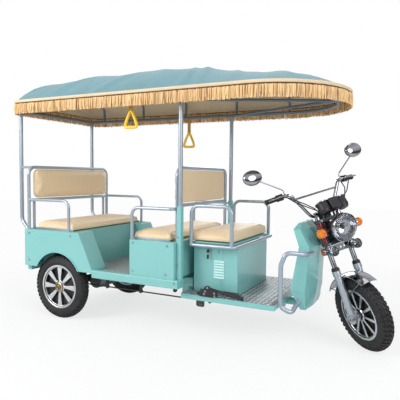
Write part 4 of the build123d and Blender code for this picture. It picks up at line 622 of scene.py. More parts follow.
# name, place, aimed at, size, power, colour
LAMPS = [("key", (-2.4, -3.9, 2.7), (0.0, 0.0, 0.9), 2.6, 135.0, (1.0, 0.985, 0.96)),
         ("fill", (3.6, -2.2, 2.4), (0.3, 0.0, 0.8), 2.4, 66.0, (0.97, 0.98, 1.0)),
         ("top", (0.2, 0.4, 4.6), (0.0, 0.0, 0.0), 3.4, 34.0, (1.0, 1.0, 1.0)),
         ("back", (-1.0, 4.2, 2.6), (0.0, 0.0, 0.9), 2.6, 55.0, (0.97, 0.99, 1.0))]


def make_lamps():
    """Round soft lamps, each aimed at its place."""
    for name, place, target, size, power, colour in LAMPS:
        data = bpy.data.lights.new(name, "AREA")
        data.shape = "DISK"
        data.size = size
        data.energy = power
        data.color = colour
        lamp = bpy.data.objects.new(name, data)
        away = Vector(place) - Vector(target)
        lamp.matrix_world = Matrix.Translation(place) @ away.to_track_quat("Z", "Y").to_matrix().to_4x4()
        bpy.context.scene.collection.objects.link(lamp)


make_camera()
make_floor()
make_world()
make_lamps()
bpy.context.scene.view_settings.view_transform = "Standard"


# --------------------------------------------------------- CAD nodes' finish
NODE_FINISHES = [
    (PAINT, ("rear_tub", "side_sills", "middle_seat_box", "driver_box", "rear_chassis", "front_chassis",
             "leg_shield", "driver_seat_board")),
    (TUBE_PAINT, ("roof_posts", "rear_seat_frame", "middle_seat_frame", "driver_seat_frame", "crash_bars")),
    (ROOF_TUBE_PAINT, ("roof_rails", "roof_bows")),
    (BATTERY_CASE, ("battery_pack",)),
    (BLACK_PAINT, ("rear_axle", "leaf_springs", "brake_linkage")),
    (MOTOR_CASE, ("drive_motor",)),
    (STEEL, ("front_axle",)),
    (CLAMP, ("fork_clamps",)),
    (CHROME, ("fork_stanchions", "mudguard", "lamp_bracket", "handlebar", "mirrors")),
    (FORK_ALLOY, ("fork_legs",)),
    (RED, ("fork_shrouds",)),
    (BLACK_PLASTIC, ("instruments",)),
    (GRIP, ("control_cables",)),
    (RED_LENS, ("tail_lamps",)),
]
for material, nodes in NODE_FINISHES:
    for node in nodes:
        node_mesh = frame["nodes"][node].data
        node_mesh.materials.clear()
        node_mesh.materials.append(material)


# -------------------------------------------------------------------- roof
ROOF_LOW, ROOF_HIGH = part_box("fringe")
ROOF_HALF = ROOF_HIGH.y
NOSE_X = ROOF_HIGH.x - ROOF_HALF
CORNER_R = 0.110
EDGE_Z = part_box("canopy")[0].z + 0.006
SPINE_REAR = ROOF_LOW.x + 0.46
BOW_X = [AXLE_X + x for x in (-0.270, 0.170, 0.610, 1.080, 1.525)]
RING_SHARES = [0.0, 0.012, 0.03, 0.055, 0.085, 0.12, 0.16, 0.20, 0.245, 0.29, 0.34, 0.39, 0.44, 0.49,
               0.54, 0.59, 0.64, 0.69, 0.74, 0.79, 0.84, 0.89, 0.945, 1.0]


def roof_outline(inset, spacing):
    """Points round the roof's plan, with the way out of it at each.

    Straight sides, small corners behind and a half circle in front."""
    half = ROOF_HALF - inset
    rear = ROOF_LOW.x + inset
    corner = CORNER_R - inset
    # for a line its start, end and way out; for an arc its middle, radius and angles
    runs = [("line", Vector((rear, -half + corner, 0)), Vector((rear, half - corner, 0)), Vector((-1, 0, 0))),
            ("arc", Vector((rear + corner, half - corner, 0)), corner, pi, pi / 2),
            ("line", Vector((rear + corner, half, 0)), Vector((NOSE_X, half, 0)), Vector((0, 1, 0))),
            ("arc", Vector((NOSE_X, 0, 0)), half, pi / 2, -pi / 2),
            ("line", Vector((NOSE_X, -half, 0)), Vector((rear + corner, -half, 0)), Vector((0, -1, 0))),
            ("arc", Vector((rear + corner, -half + corner, 0)), corner, -pi / 2, -pi)]
    points = []
    for kind, first, second, third, *rest in runs:
        if kind == "line":
            count = ceil((second - first).length / spacing)
            points += [(first.lerp(second, step / count), third) for step in range(count)]
            continue
        turn = rest[0] - third
        count = ceil(abs(turn) * second / spacing)
        for step in range(count):
            angle = third + turn * step / count
            way = Vector((cos(angle), sin(angle), 0))
            points.append((first + way * second, way))
    return points


ROOF_TREE = node_tree("canopy")


def roof_height(x, y):
    """The height of the CAD roof's upper surface, from two rays set a little apart."""
    hits = [ROOF_TREE.ray_cast(Vector((x + aside, y + aside * 0.7, 3.0)), Vector((0, 0, -1)))[0]
            for aside in (-0.0011, 0.0013)]
    return max([hit.z for hit in hits if hit], default=EDGE_Z)


# Listed folds: start, end (from the rear axle, and across), depth, width
FOLDS = [((1.02, -0.20), (1.10, -0.52), 0.013, 0.016),
         ((1.04, -0.22), (1.00, -0.52), -0.011, 0.018),
         ((1.09, -0.10), (1.21, -0.50), 0.009, 0.026),
         ((0.60, -0.26), (0.36, -0.52), 0.008, 0.040),
         ((0.62, -0.30), (0.78, -0.52), 0.007, 0.035),
         ((0.17, -0.22), (-0.06, -0.50), 0.009, 0.042),
         ((0.18, -0.28), (0.34, -0.52), -0.006, 0.034),
         ((-0.27, -0.24), (-0.40, -0.46), 0.009, 0.030),
         ((1.06, 0.20), (1.16, 0.50), 0.010, 0.024),
         ((0.62, 0.24), (0.44, 0.52), 0.008, 0.036),
         ((0.16, 0.24), (0.02, 0.50), 0.008, 0.038),
         ((0.64, -0.05), (0.95, -0.34), 0.006, 0.045),
         ((1.30, -0.08), (1.42, -0.44), 0.006, 0.035),
         ((1.52, -0.05), (1.80, -0.36), 0.005, 0.040)]
FOLD_GAIN = 1.5
SAG = 0.008                    # between bows
RIPPLE = 0.0070
BOW_TOUCH = -0.0006            # the cloth lies this close over a bow
BOW_NEAR = 0.025
DEEPEST = -0.014


def fold_lift(x, y):
    """How far the cloth stands off its plain shape at a place of the roof."""
    ahead = x - AXLE_X
    edge = min(1.0, abs(y) / ROOF_HALF)
    lift = 0.0
    for rear, front in zip(BOW_X, BOW_X[1:]):
        if rear <= x <= front:
            lift -= SAG * sin(pi * (x - rear) / (front - rear)) ** 2 * (1 - edge ** 3)
    for (x0, y0), (x1, y1), depth, width in FOLDS:
        run = Vector((x1 - x0, y1 - y0))
        away = Vector((ahead - x0, y - y0))
        along = away.dot(run) / run.length_squared
        if -0.25 < along < 1.15:
            aside = abs(away.cross(run)) / run.length
            fade = min(1.0, (along + 0.25) / 0.5) * min(1.0, (1.15 - along) / 0.3)
            lift += FOLD_GAIN * depth * fade * 2.718 ** (-(aside / width) ** 2)
    wind = noise.noise(Vector((ahead * 5.5 + y * 2.0, y * 1.7, 3.1)))
    fine = noise.noise(Vector((ahead * 14.0 - y * 5.0, y * 4.5, 8.7)))
    lift += RIPPLE * (wind + 0.45 * fine) * (0.35 + edge)
    near_bow = min(abs(x - bow) for bow in BOW_X)
    lowest = BOW_TOUCH - max(0.0, near_bow - BOW_NEAR) * 0.15
    return max(lift, lowest, DEEPEST)


def wrapped(bm, columns, rows, place):
    """A sheet of squares closed round its columns, with each corner at place(column, row)."""
    made = bmesh.ops.create_grid(bm, x_segments=columns, y_segments=rows, size=0.5)["verts"]
    for vert in made:
        column = round((vert.co.x + 0.5) * columns) % columns
        row = round((vert.co.y + 0.5) * rows)
        vert.co = place(column, row)
    bmesh.ops.remove_doubles(bm, verts=made, dist=0.00002)
    bmesh.ops.dissolve_degenerate(bm, dist=0.00001, edges=bm.edges)


def make_canopy():
    """One sheet of canvas over the bows, lined underneath, turned down at its edge."""
    rim = roof_outline(0.010, 0.021)
    piece = Piece("canopy_cloth", CANVAS, LINING)

    def cloth_point(column, row):
        """A corner of the cloth: row 0 hangs below the edge, the rest climb to the ridge."""
        point = rim[column][0]
        if row == 0:
            return Vector((point.x, point.y, EDGE_Z - 0.016))
        share = RING_SHARES[row - 1]
        spine = Vector((min(max(point.x, SPINE_REAR), NOSE_X), 0, 0))
        plan = point.lerp(spine, share)
        lift = fold_lift(plan.x, plan.y) * min(1.0, share / 0.06)
        return Vector((plan.x, plan.y, roof_height(plan.x, plan.y) - 0.0005 + lift))

    wrapped(piece.bm, len(rim), len(RING_SHARES), cloth_point)
    bmesh.ops.recalc_face_normals(piece.bm, faces=piece.bm.faces)
    if sum(face.normal.z for face in piece.bm.faces) < 0:
        bmesh.ops.reverse_faces(piece.bm, faces=piece.bm.faces)
    cloth = piece.done("vehicle", "canvas", ["canopy"], sharp=180)
    wall = cloth.modifiers.new("cloth_thickness", "SOLIDIFY")
    wall.thickness = 0.003
    wall.offset = -1.0
    wall.material_offset = 1
    return cloth


ROOF_CLOTH = make_canopy()


def band(name, material, section, spacing, slot, wave=0.0, twist=0.0):
    """A closed band round the roof's edge: its section gives (inset, height) points in turn."""
    piece = Piece(name, material)
    rim = roof_outline(0.0, spacing)

    def band_point(column, row):
        """A corner of the band, moved in and up by its plaiting."""
        point, way = rim[column]
        inset, height = section[row % len(section)]
        plait = wave * sin(tau * (row % len(section)) / len(section) + twist * column)
        inwards = inset + plait
        return Vector((point.x - way.x * inwards, point.y - way.y * inwards, height + plait * 0.5))

    wrapped(piece.bm, len(rim), len(section), band_point)
    bmesh.ops.recalc_face_normals(piece.bm, faces=piece.bm.faces)
    return piece.done("vehicle", slot, sharp=60)


EDGING_Z = ROOF_HIGH.z + 0.001         # middle of the cream braid
EDGING_R = (0.0050, 0.0105)            # half its thickness, half its height
EDGING = [(0.003 + EDGING_R[0] * (1 - cos(tau * step / 10)), EDGING_Z + EDGING_R[1] * sin(tau * step / 10))
          for step in range(10)]
PIPING_BAND = band("edge_braid", PIPING, EDGING, 0.0052, "straw_trim", wave=0.0012, twist=1.9)
TAPE_TOP = EDGING_Z - 0.008
TAPE_LOW = EDGING_Z - 0.026
TAPE_BAND = band("heading_tape", HEADING, [(0.0085, TAPE_TOP), (0.0085, TAPE_LOW), (0.0125, TAPE_LOW),
                                           (0.0125, TAPE_TOP)], 0.02, "straw_trim")

STRAND_W = 0.0054
STRAND_T = 0.0018
# each strand's own tone of straw; the paler and the darker strands also stand for painted highlight and
# painted shade among the strands
STRAND_TONES_AND_LIGHT = [(1.0, 0.98, 0.94), (0.94, 0.88, 0.80), (1.0, 0.95, 0.86), (0.98, 0.93, 0.84),
                (0.80, 0.69, 0.54), (0.50, 0.38, 0.27)]
STRAND_ROUNDS = 8                # strands of each colour in the list above
GAP_SHARE = 0.04               # places without a strand
FRINGE_DROP = TAPE_LOW + 0.008 - ROOF_LOW.z
# inset from the roof's outline, spacing, and the share of the drop
FRINGE_LAYERS = [(0.0035, 0.0054, 1.0), (0.0085, 0.0058, 0.97), (0.0145, 0.0100, 0.95)]


def strand(rng, length, tone_and_light):
    """One flat straw: cut square, a little bent and twisted, hanging along -Z."""
    bm = bmesh.new()
    bmesh.ops.create_cube(bm, size=1.0)
    bmesh.ops.scale(bm, vec=(STRAND_W * rng.uniform(0.75, 1.1), STRAND_T, length), verts=bm.verts)
    bmesh.ops.translate(bm, vec=(0, 0, -length / 2), verts=bm.verts)
    upright = [edge for edge in bm.edges if abs(edge.verts[0].co.z - edge.verts[1].co.z) > length / 2]
    bmesh.ops.subdivide_edges(bm, edges=upright, cuts=3, use_grid_fill=True)
    side, out, turn = rng.uniform(-0.007, 0.007), rng.uniform(-0.003, 0.004), rng.uniform(-0.5, 0.5)
    for vert in bm.verts:
        down = -vert.co.z / length
        vert.co = Matrix.Rotation(turn * down, 3, "Z") @ vert.co
        vert.co.x += side * down ** 1.6
        vert.co.y += out * sin(pi * down)
    mesh = as_mesh(bm)
    # the strand's colour: its tone of straw together with painted highlight and painted shade among the
    # strands
    shade = mesh.color_attributes.new("strand_tone_and_light", "FLOAT_COLOR", "POINT")
    for item in shade.data:
        item.color = (*tone_and_light, 1.0)
    return mesh


def make_fringe():
    """Straw fringe: three rows of strands under a dark heading."""
    rng = random.Random(11)
    kinds = [strand(rng, FRINGE_DROP * rng.uniform(0.90, 1.0), tone_and_light) for tone_and_light in STRAND_TONES_AND_LIGHT * STRAND_ROUNDS]
    piece = Piece("straw_fringe", STRAW)
    for inset, spacing, drop in FRINGE_LAYERS:
        for point, way in roof_outline(inset, spacing):
            if rng.random() < GAP_SHARE:
                continue
            along = rng.uniform(-0.0014, 0.0014)
            top = TAPE_LOW + rng.uniform(0.004, 0.009)
            place = Vector((point.x - way.y * along, point.y + way.x * along, top))
            facing = Matrix.Rotation(atan2(way.y, way.x) - pi / 2 + rng.uniform(-0.35, 0.35), 4, "Z")
            hung = Matrix.Translation(place) @ facing @ Matrix.Scale(drop, 4, (0, 0, 1))
            piece.put(rng.choice(kinds), hung)
    return piece.done("vehicle", "straw_trim", ["fringe"], sharp=60)


STRAW_FRINGE = make_fringe()


# ---------------------------------------------------------------- upholstery
VOXEL = 0.006
PAD_INSET = 0.005              # the shape starts this much inside the finished pad
PAD_PRESSURE = 3.0
PAD_FRAMES = 20
PAD_CORNER = 0.020             # round a seat's corners, and a back's
BACK_CORNER = 0.042
PAD_EDGE = 0.22                # round its edges, as a share of its thickness
PAD_FAST = 0.28                # the share of its thickness that its board holds
SMOOTHINGS = 3
PAD_REACH = 0.013              # the furthest that the cover moves


def swell(piece, held):
    """Fills a pad by a cloth simulation. held(place) says where the cover is fast."""
    scene = bpy.context.scene
    start = [vert.co.copy() for vert in piece.data.vertices]
    fast = piece.vertex_groups.new(name="fast")
    fast.add([index for index, place in enumerate(start) if held(place)], 1.0, "REPLACE")
    cloth = piece.modifiers.new("filling", "CLOTH")
    cloth.settings.quality = 4
    cloth.settings.mass = 0.25
    cloth.settings.use_pressure = True
    cloth.settings.uniform_pressure_force = PAD_PRESSURE
    cloth.settings.tension_stiffness = 25
    cloth.settings.compression_stiffness = 20
    cloth.settings.shear_stiffness = 8
    cloth.settings.bending_stiffness = 1.5
    cloth.settings.effector_weights.gravity = 0
    cloth.settings.vertex_group_mass = "fast"
    cloth.collision_settings.use_collision = False
    cloth.point_cache.frame_end = PAD_FRAMES
    for number in range(1, PAD_FRAMES + 1):
        scene.frame_set(number)
    filled = piece.evaluated_get(bpy.context.evaluated_depsgraph_get()).data
    ends = [vert.co.copy() for vert in filled.vertices]
    piece.modifiers.remove(cloth)
    piece.vertex_groups.clear()
    scene.frame_set(1)
    for vert, first, last in zip(piece.data.vertices, start, ends):
        move = last - first
        if move.length > PAD_REACH:
            move *= PAD_REACH / move.length
        vert.co = first + move


def pad(name, node, body, front, grow):
    """A stuffed vinyl pad in a CAD pad's place.

    front is the side that swells freely, grow what the low and high corners of its box gain."""
    low, high = [corner + Vector(gain) for corner, gain in zip(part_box(node), grow)]
    middle, size = (low + high) / 2, high - low - Vector((1, 1, 1)) * 2 * PAD_INSET
    way = Vector(front)
    flat_x, flat_y = (size.x, size.y) if way.z else (size.z, size.y)
    thick = abs(way.dot(size))
    corner = PAD_CORNER if way.z else BACK_CORNER
    block = plate(oblong(flat_x / 2, flat_y / 2), thick, thick * PAD_EDGE, corner)
    block.transform(Matrix.Translation((0, 0, -thick / 2)))
    if not way.z:
        block.transform(Matrix.Rotation(way.x * pi / 2, 4, "Y"))
    block.transform(Matrix.Translation(middle))
    piece = bpy.data.objects.new(name, block)
    bpy.context.scene.collection.objects.link(piece)
    remesh = piece.modifiers.new("even_cover", "REMESH")
    remesh.mode = "VOXEL"
    remesh.voxel_size = VOXEL
    even = bpy.data.meshes.new_from_object(piece.evaluated_get(bpy.context.evaluated_depsgraph_get()))
    piece.modifiers.remove(remesh)
    piece.data = even
    even.name = name
    waist = min(vert.co.dot(way) for vert in even.vertices) + thick * PAD_FAST
    swell(piece, lambda place: place.dot(way) < waist)
    bm = bmesh.new()
    bm.from_mesh(even)
    for _ in range(SMOOTHINGS):
        bmesh.ops.smooth_vert(bm, verts=bm.verts, factor=0.5, use_axis_x=True, use_axis_y=True,
                              use_axis_z=True)
    bm.to_mesh(even)
    bm.free()
    even.materials.clear()
    even.materials.append(VINYL)
    even.shade_smooth()
    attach(piece, body)
    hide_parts(node)


UP, AHEAD, ASTERN = (0, 0, 1), (1, 0, 0), (-1, 0, 0)
STILL = ((0, 0, 0), (0, 0, 0))
BACK_GROWS = ((0, -0.006, -0.002), (0, 0.006, 0.004))
DRIVER_GROWS = ((-0.010, -0.003, 0), (0.018, 0.003, 0.010))
# name, CAD node, body, front, and what the low and high corners gain
PADS = [("rear_seat_pad", "rear_seat_cushion", "vehicle", UP, STILL),
        ("rear_back_cushion", "rear_back_pad", "vehicle", AHEAD, BACK_GROWS),
        ("middle_seat_pad", "middle_seat_cushion", "vehicle", UP, STILL),
        ("middle_back_cushion", "middle_back_pad", "vehicle", ASTERN, BACK_GROWS),
        ("driver_seat_pad", "driver_seat_cushion", "driver_lid", UP, DRIVER_GROWS)]
for name, node, body, front, grow in PADS:
    pad(name, node, body, front, grow)


# --------------------------------------------------------------- fastenings
def bolt_head(across):
    """A hexagon head on its washer, standing up along Z."""
    bm = bmesh.new()
    bmesh.ops.create_cone(bm, cap_ends=True, segments=6, radius1=across / 2, radius2=across / 2,
                          depth=across * 0.55)
    bmesh.ops.translate(bm, vec=(0, 0, across * 0.275 + 0.0015), verts=bm.verts)
    top = [edge for edge in bm.edges if min(vert.co.z for vert in edge.verts) > across * 0.3]
    bmesh.ops.bevel(bm, geom=top, offset=across * 0.08, segments=1, profile=0.5, affect="EDGES", material=-1)
    washer = across * 0.85
    disc = bmesh.ops.create_cone(bm, cap_ends=True, segments=20, radius1=washer, radius2=washer * 0.94,
                                 depth=0.002)
    bmesh.ops.translate(bm, vec=(0, 0, 0.0006), verts=disc["verts"])
    return as_mesh(bm)


def dome_head(radius):
    """A round pan head, standing up along Z."""
    return lathe([(0, -0.001), (radius, -0.001), (radius, radius * 0.25), (radius * 0.75, radius * 0.55),
                  (radius * 0.3, radius * 0.68), (0, radius * 0.7)], steps=18)


# ------------------------------------------------------------------- wheels
TREAD_H = 0.0062
BLOCKS = 46
# angle over the crown, size across and along, skew
TREAD_ROWS = [(9.0, 0.0118, 0.0260, 18), (-9.0, 0.0118, 0.0260, 18), (31.0, 0.0165, 0.0225, -26),
              (-31.0, 0.0165, 0.0225, 26), (56.0, 0.0140, 0.0170, 8), (-56.0, 0.0140, 0.0170, -8)]


def tyre_mesh():
    """A road tyre round Z: carcass, sidewall ribs and tread blocks."""
    crown = TYRE_R - SECTION_R
    low = SECTION_R - TREAD_H
    outside = []
    for step in range(-9, 10):
        turn = radians(step * 9.3)
        outside.append((crown + low * cos(turn), low * sin(turn)))
    wall = [(0.192, 0.0450), (0.188, 0.0462), (0.184, 0.0446), (0.178, 0.0432), (0.1755, 0.0446),
            (0.172, 0.0424), (0.168, 0.0380), (0.162, 0.0330), (RIM_R + 0.0006, 0.0290)]
    profile = [(radius, -height) for radius, height in reversed(wall)] + outside + wall
    bm = bmesh.new()
    bm.from_mesh(lathe(profile + [profile[0]], steps=96))
    block = brick((1, 1, 1))
    for number in range(BLOCKS):
        for row, (slope, across, along, skew) in enumerate(TREAD_ROWS):
            turn = Matrix.Rotation(tau * (number + 0.5 * (row % 2)) / BLOCKS, 4, "Z")
            spot = Matrix.Translation((crown, 0, 0)) @ Matrix.Rotation(-radians(slope), 4, "Y")
            lift = Matrix.Translation((low + TREAD_H / 2 - 0.0006, 0, 0))
            size = Matrix.Diagonal((TREAD_H * 0.98, along, across, 1))
            block_at = turn @ spot @ lift @ Matrix.Rotation(radians(skew), 4, "X") @ size
            block.transform(block_at)
            bm.from_mesh(block)
            block.transform(block_at.inverted())
    return as_mesh(bm)


# CAD tyre, CAD rim, body, and the place of the wheel with its outward side along Z
WHEELS = [("rear_tyre_right", "rear_rim_right", "right_wheel", Matrix.Translation((AXLE_X, -WHEEL_Y, TYRE_R))
           @ Matrix.Rotation(radians(90), 4, "X")),
          ("rear_tyre_left", "rear_rim_left", "left_wheel", Matrix.Translation((AXLE_X, WHEEL_Y, TYRE_R))
           @ Matrix.Rotation(radians(-90), 4, "X")),
          ("front_tyre", "front_rim", "front_wheel", FRONT_WHEEL @ Matrix.Rotation(radians(-90), 4, "X"))]
# the dark disc behind the spokes
BACKING = lathe([(0.030, -0.0035), (0.1515, -0.0035), (0.1515, 0.0035), (0.030, 0.0035), (0.030, -0.0035)],
                steps=48)
WEB_FACE = 0.015               # a spoke's machined face stands out further than this
LIP_R = 0.150                  # and the rim's machined lip begins here
BARREL_R = 0.1595


def make_rim(node, body, wheel):
    """The cast rim, machined on its outward faces, black in its pockets."""
    mesh = frame["nodes"][node].data.copy()
    piece = Piece("dressed_" + node, RIM_BLACK, ALLOY)
    piece.bm.from_mesh(mesh)
    bm = piece.bm
    if node == "front_rim":
        flipped = wheel @ Matrix.Scale(-1, 4, (0, 0, 1)) @ wheel.inverted()
        mesh.transform(flipped)
        mesh.flip_normals()
        bm.from_mesh(mesh)
    bmesh.ops.remove_doubles(bm, verts=bm.verts, dist=0.00002)
    axis = wheel.to_3x3() @ Vector((0, 0, 1))
    hub = wheel.translation
    for face in bm.faces:
        middle = face.calc_center_median() - hub
        out = middle.dot(axis)
        radius = (middle - axis * out).length
        faces_out = abs(face.normal.dot(axis)) > 0.8
        seen = abs(out) if node == "front_rim" else out
        machined = faces_out and (seen > WEB_FACE or radius > LIP_R)
        face.material_index = 1 if machined or radius > BARREL_R else 0
    bpy.data.meshes.remove(mesh)
    piece.put(BACKING, wheel)
    piece.done(body, "cast_alloy", [node], sharp=32)


def make_wheel_trim():
    """Hub caps and nuts."""
    cap = lathe([(0, 0.0012), (0.0255, 0.0012), (0.0262, 0.004), (0.0235, 0.0075), (0.0190, 0.0085),
                 (0.0165, 0.0070), (0.0120, 0.0105), (0, 0.0115)], steps=40)
    nut = bolt_head(0.010)
    for tyre, rim, body, wheel in WHEELS[:2]:
        Piece("hub_cap_" + body, BRONZE, STEEL).put(cap, wheel @ lifted(0.038)).done(body, "cast_alloy")
        studs = [wheel @ Matrix.Rotation(tau * (number + 0.5) / 4, 4, "Z")
                 @ Matrix.Translation((0.040, 0, 0.0275)) for number in range(4)]
        single("wheel_nuts_" + body, STEEL, nut, body, "plain_steel", studs)
    hub = lathe([(0.0145, 0.0430), (0.0265, 0.0430), (0.0320, 0.0400), (0.0352, 0.0330), (0.0345, 0.0270),
                 (0.0330, 0.0270)], steps=40)
    far_hub = hub.copy()
    far_hub.transform(Matrix.Scale(-1, 4, (0, 0, 1)))
    far_hub.flip_normals()
    piece = Piece("front_hub_shells", CHROME)
    piece.put(hub, WHEELS[2][3]).put(far_hub, WHEELS[2][3])
    piece.done("front_wheel", "cast_alloy", sharp=50)


def make_wheels():
    """Treaded tyres on their rims."""
    rubber = tyre_mesh()
    for tyre, rim, body, wheel in WHEELS:
        single("treaded_" + tyre, RUBBER, rubber, body, "tyre_rubber", [wheel], [tyre], sharp=40)
        make_rim(rim, body, wheel)
    make_wheel_trim()


make_wheels()


# -------------------------------------------------------------------- decks
BAR = (0.0300, 0.0070, 0.0026)         # a raised bar of the tread plate
BAR_PITCH = 0.0315
BAR_REACH = 0.013                      # the plate is flat this far round a bar


def deck_bar():
    """One raised lens-shaped bar."""
    bm = bmesh.new()
    bmesh.ops.create_uvsphere(bm, u_segments=8, v_segments=4, radius=0.5)
    bmesh.ops.scale(bm, vec=(BAR[0], BAR[1], 2 * BAR[2]), verts=bm.verts)
    low = [vert for vert in bm.verts if vert.co.z < -0.0001]
    bmesh.ops.delete(bm, geom=low, context="VERTS")
    return as_mesh(bm)


def make_decks():
    """Painted deck pans with tread plate on top, and its raised bars."""
    pans = Piece("deck_pans", TREAD_PLATE, PAINT)
    bm = pans.bm
    bm.from_mesh(frame["nodes"]["floor_decks"].data)
    bmesh.ops.remove_doubles(bm, verts=bm.verts, dist=0.00002)
    for face in bm.faces:
        face.material_index = 0 if face.normal.z > 0.7 else 1
    pans.done("vehicle", "tread_plate", ["floor_decks"], sharp=32)
    deck = surface("floor_decks")
    low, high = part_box("floor_decks")
    boxes = [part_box(node) for node in ("driver_box", "middle_seat_box")]
    bars = Piece("tread_bars", PAINTED_HIGHLIGHT_BAR)
    bar = deck_bar()
    for row in range(int((high.x - low.x) / BAR_PITCH)):
        for column in range(int((high.y - low.y) / BAR_PITCH)):
            x = low.x + (row + 0.5) * BAR_PITCH
            y = low.y + (column + 0.5) * BAR_PITCH
            meet = deck((x, y, 0))
            reach = [deck((x + dx, y + dy, 0)) for dx in (-BAR_REACH, BAR_REACH)
                     for dy in (-BAR_REACH, BAR_REACH)]
            if not meet or not all(reach) or max(abs(spot.z - meet.z) for spot in reach) > 0.001:
                continue
            if any(box[0].x < x < box[1].x and box[0].y < y < box[1].y for box in boxes):
                continue
            turn = Matrix.Rotation(radians(45 if (row + column) % 2 else -45), 4, "Z")
            bars.put(bar, Matrix.Translation((x, y, meet.z - 0.0001)) @ turn)
    bars.done("vehicle", "tread_plate", sharp=30)


make_decks()


# ---------------------------------------------------------------- steering
TURN_X = Matrix.Rotation(pi / 2, 4, "Y")       # a turned shape's Z laid along X
TURN_BACK = Matrix.Rotation(-pi / 2, 4, "Y")
# Middles, in the fork's frame, of the left one where there are two
HEADLIGHT_AT = (0.198, 0.0, 0.533)
TURN_LAMP_AT = (0.140, 0.1113, 0.540)
REFLECTOR_AT = (0.058, 0.1173, 0.422)
SPOT_LAMP_AT = (0.0, 0.090, 0.413)
GAUGE_AT = (0.150, 0.068, 0.690)
POD_AT = (0.158, 0.0, 0.696)
GAUGE_TILT = Matrix.Rotation(-radians(20), 4, "Y")
BAR_BEND = (0.020, 0.195, 0.846)
BAR_END = (-0.040, 0.352, 0.842)
MIRROR_AT = (0.004, 0.404, 1.018)
MIRROR_HALF = (0.050, 0.066)           # its half height and half width
MIRROR_RIM = 0.008                     # the straight edge of a mirror's shell
MIRROR_BACK = 0.0230                   # how far its dome stands beyond that edge


def fork(place, side=1):
    """A place in the fork's frame: X ahead, Y left, Z up the steering axis."""
    x, y, z = place
    return STEERING @ Matrix.Translation((x, side * y, z))


def bar_run(side, share):
    """A point of the handlebar's outer run, from its bend to its end."""
    bend, end = [Vector((x, side * y, z)) for x, y, z in (BAR_BEND, BAR_END)]
    return bend.lerp(end, share)


def make_headlight():
    """Bright bowl, reflector, bulb and domed glass."""
    lamp = fork(HEADLIGHT_AT) @ Matrix.Rotation(STEER_LEAN, 4, "Y") @ TURN_X
    shell = lathe([(0, -0.105), (0.024, -0.105), (0.033, -0.100), (0.0662, -0.0704), (0.0795, -0.0480),
                   (0.0856, -0.0305), (0.0875, -0.0230), (0.0915, -0.0210), (0.0920, -0.0170),
                   (0.0915, -0.0030), (0.0895, 0.0005), (0.0865, 0.0010), (0.0855, -0.0030),
                   (0.0830, -0.0120), (0.0720, -0.0400), (0.0500, -0.0640), (0.0200, -0.0770),
                   (0, -0.0790)], steps=56)
    for polygon in shell.polygons:
        is_back = polygon.center.z < -0.0235 and polygon.normal.z < 0.1
        polygon.material_index = 1 if is_back else 0
    pin_x, pin_y, pin_z = 0.198 - 0.57 * 0.105, 0.0905, 0.548
    pin = tube([(pin_x, -pin_y, pin_z), (pin_x, 0, pin_z), (pin_x, pin_y, pin_z)], 0.020, sides=14)
    piece = Piece("headlight_bowl", CHROME, BLACK_PLASTIC)
    piece.put(shell, lamp).put(pin, STEERING)
    piece.done("steering", "bright_chrome", ["headlight"], sharp=40)
    glass = lathe([(0.0852, -0.0030), (0.0835, 0.0010), (0.0780, 0.0040), (0.0560, 0.0100), (0.0290, 0.0130),
                   (0, 0.0138), (0, 0.0112), (0.0290, 0.0104), (0.0560, 0.0074), (0.0770, 0.0016),
                   (0.0820, -0.0030), (0.0852, -0.0030)], steps=56)
    single("headlight_glass", LAMP_GLASS, glass, "steering", "lamp_glass", [lamp], sharp=50)
    cover = plate([(-0.052, 0.480), (0.052, 0.480), (0.060, 0.520), (0.052, 0.598), (-0.052, 0.598),
                   (-0.060, 0.520)], 0.012, 0.003, 0.010)
    back = Piece("lamp_back_cover", BLACK_PLASTIC)
    back.put(cover, STEERING @ Matrix.Translation((0.048, 0, 0)) @ Matrix.Rotation(pi / 2, 4, "Z")
             @ Matrix.Rotation(pi / 2, 4, "X"))
    for side in (-1, 1):
        lamp_lead = [(0.058, 0.020, 0.600), (0.085, 0.030, 0.590), (0.100, 0.024, 0.560),
                     (0.108, 0.012, 0.540)]
        gauge_lead = [(0.110, 0.055, 0.655), (0.085, 0.040, 0.625), (0.068, 0.034, 0.590),
                      (0.060, 0.036, 0.560)]
        for lead, diameter in ((lamp_lead, 0.010), (gauge_lead, 0.007)):
            back.put(tube([(x, side * y, z) for x, y, z in lead], diameter, sides=8), STEERING)
    back.done("steering", "black_plastic")
    bulb = Piece("headlight_bulb", BULB, BLACK_PLASTIC)
    bulb.put(lathe([(0, -0.079), (0.010, -0.079), (0.011, -0.060), (0.013, -0.048), (0.011, -0.036),
                    (0.005, -0.030), (0, -0.029)], steps=24), lamp)
    bulb.put(lathe([(0.0125, -0.040), (0.0150, -0.040), (0.0150, -0.024), (0, -0.021), (0, -0.023),
                    (0.0125, -0.0255), (0.0125, -0.040)], steps=24, material=1), lamp)
    bulb.done("steering", "lamp_glass", sharp=40)


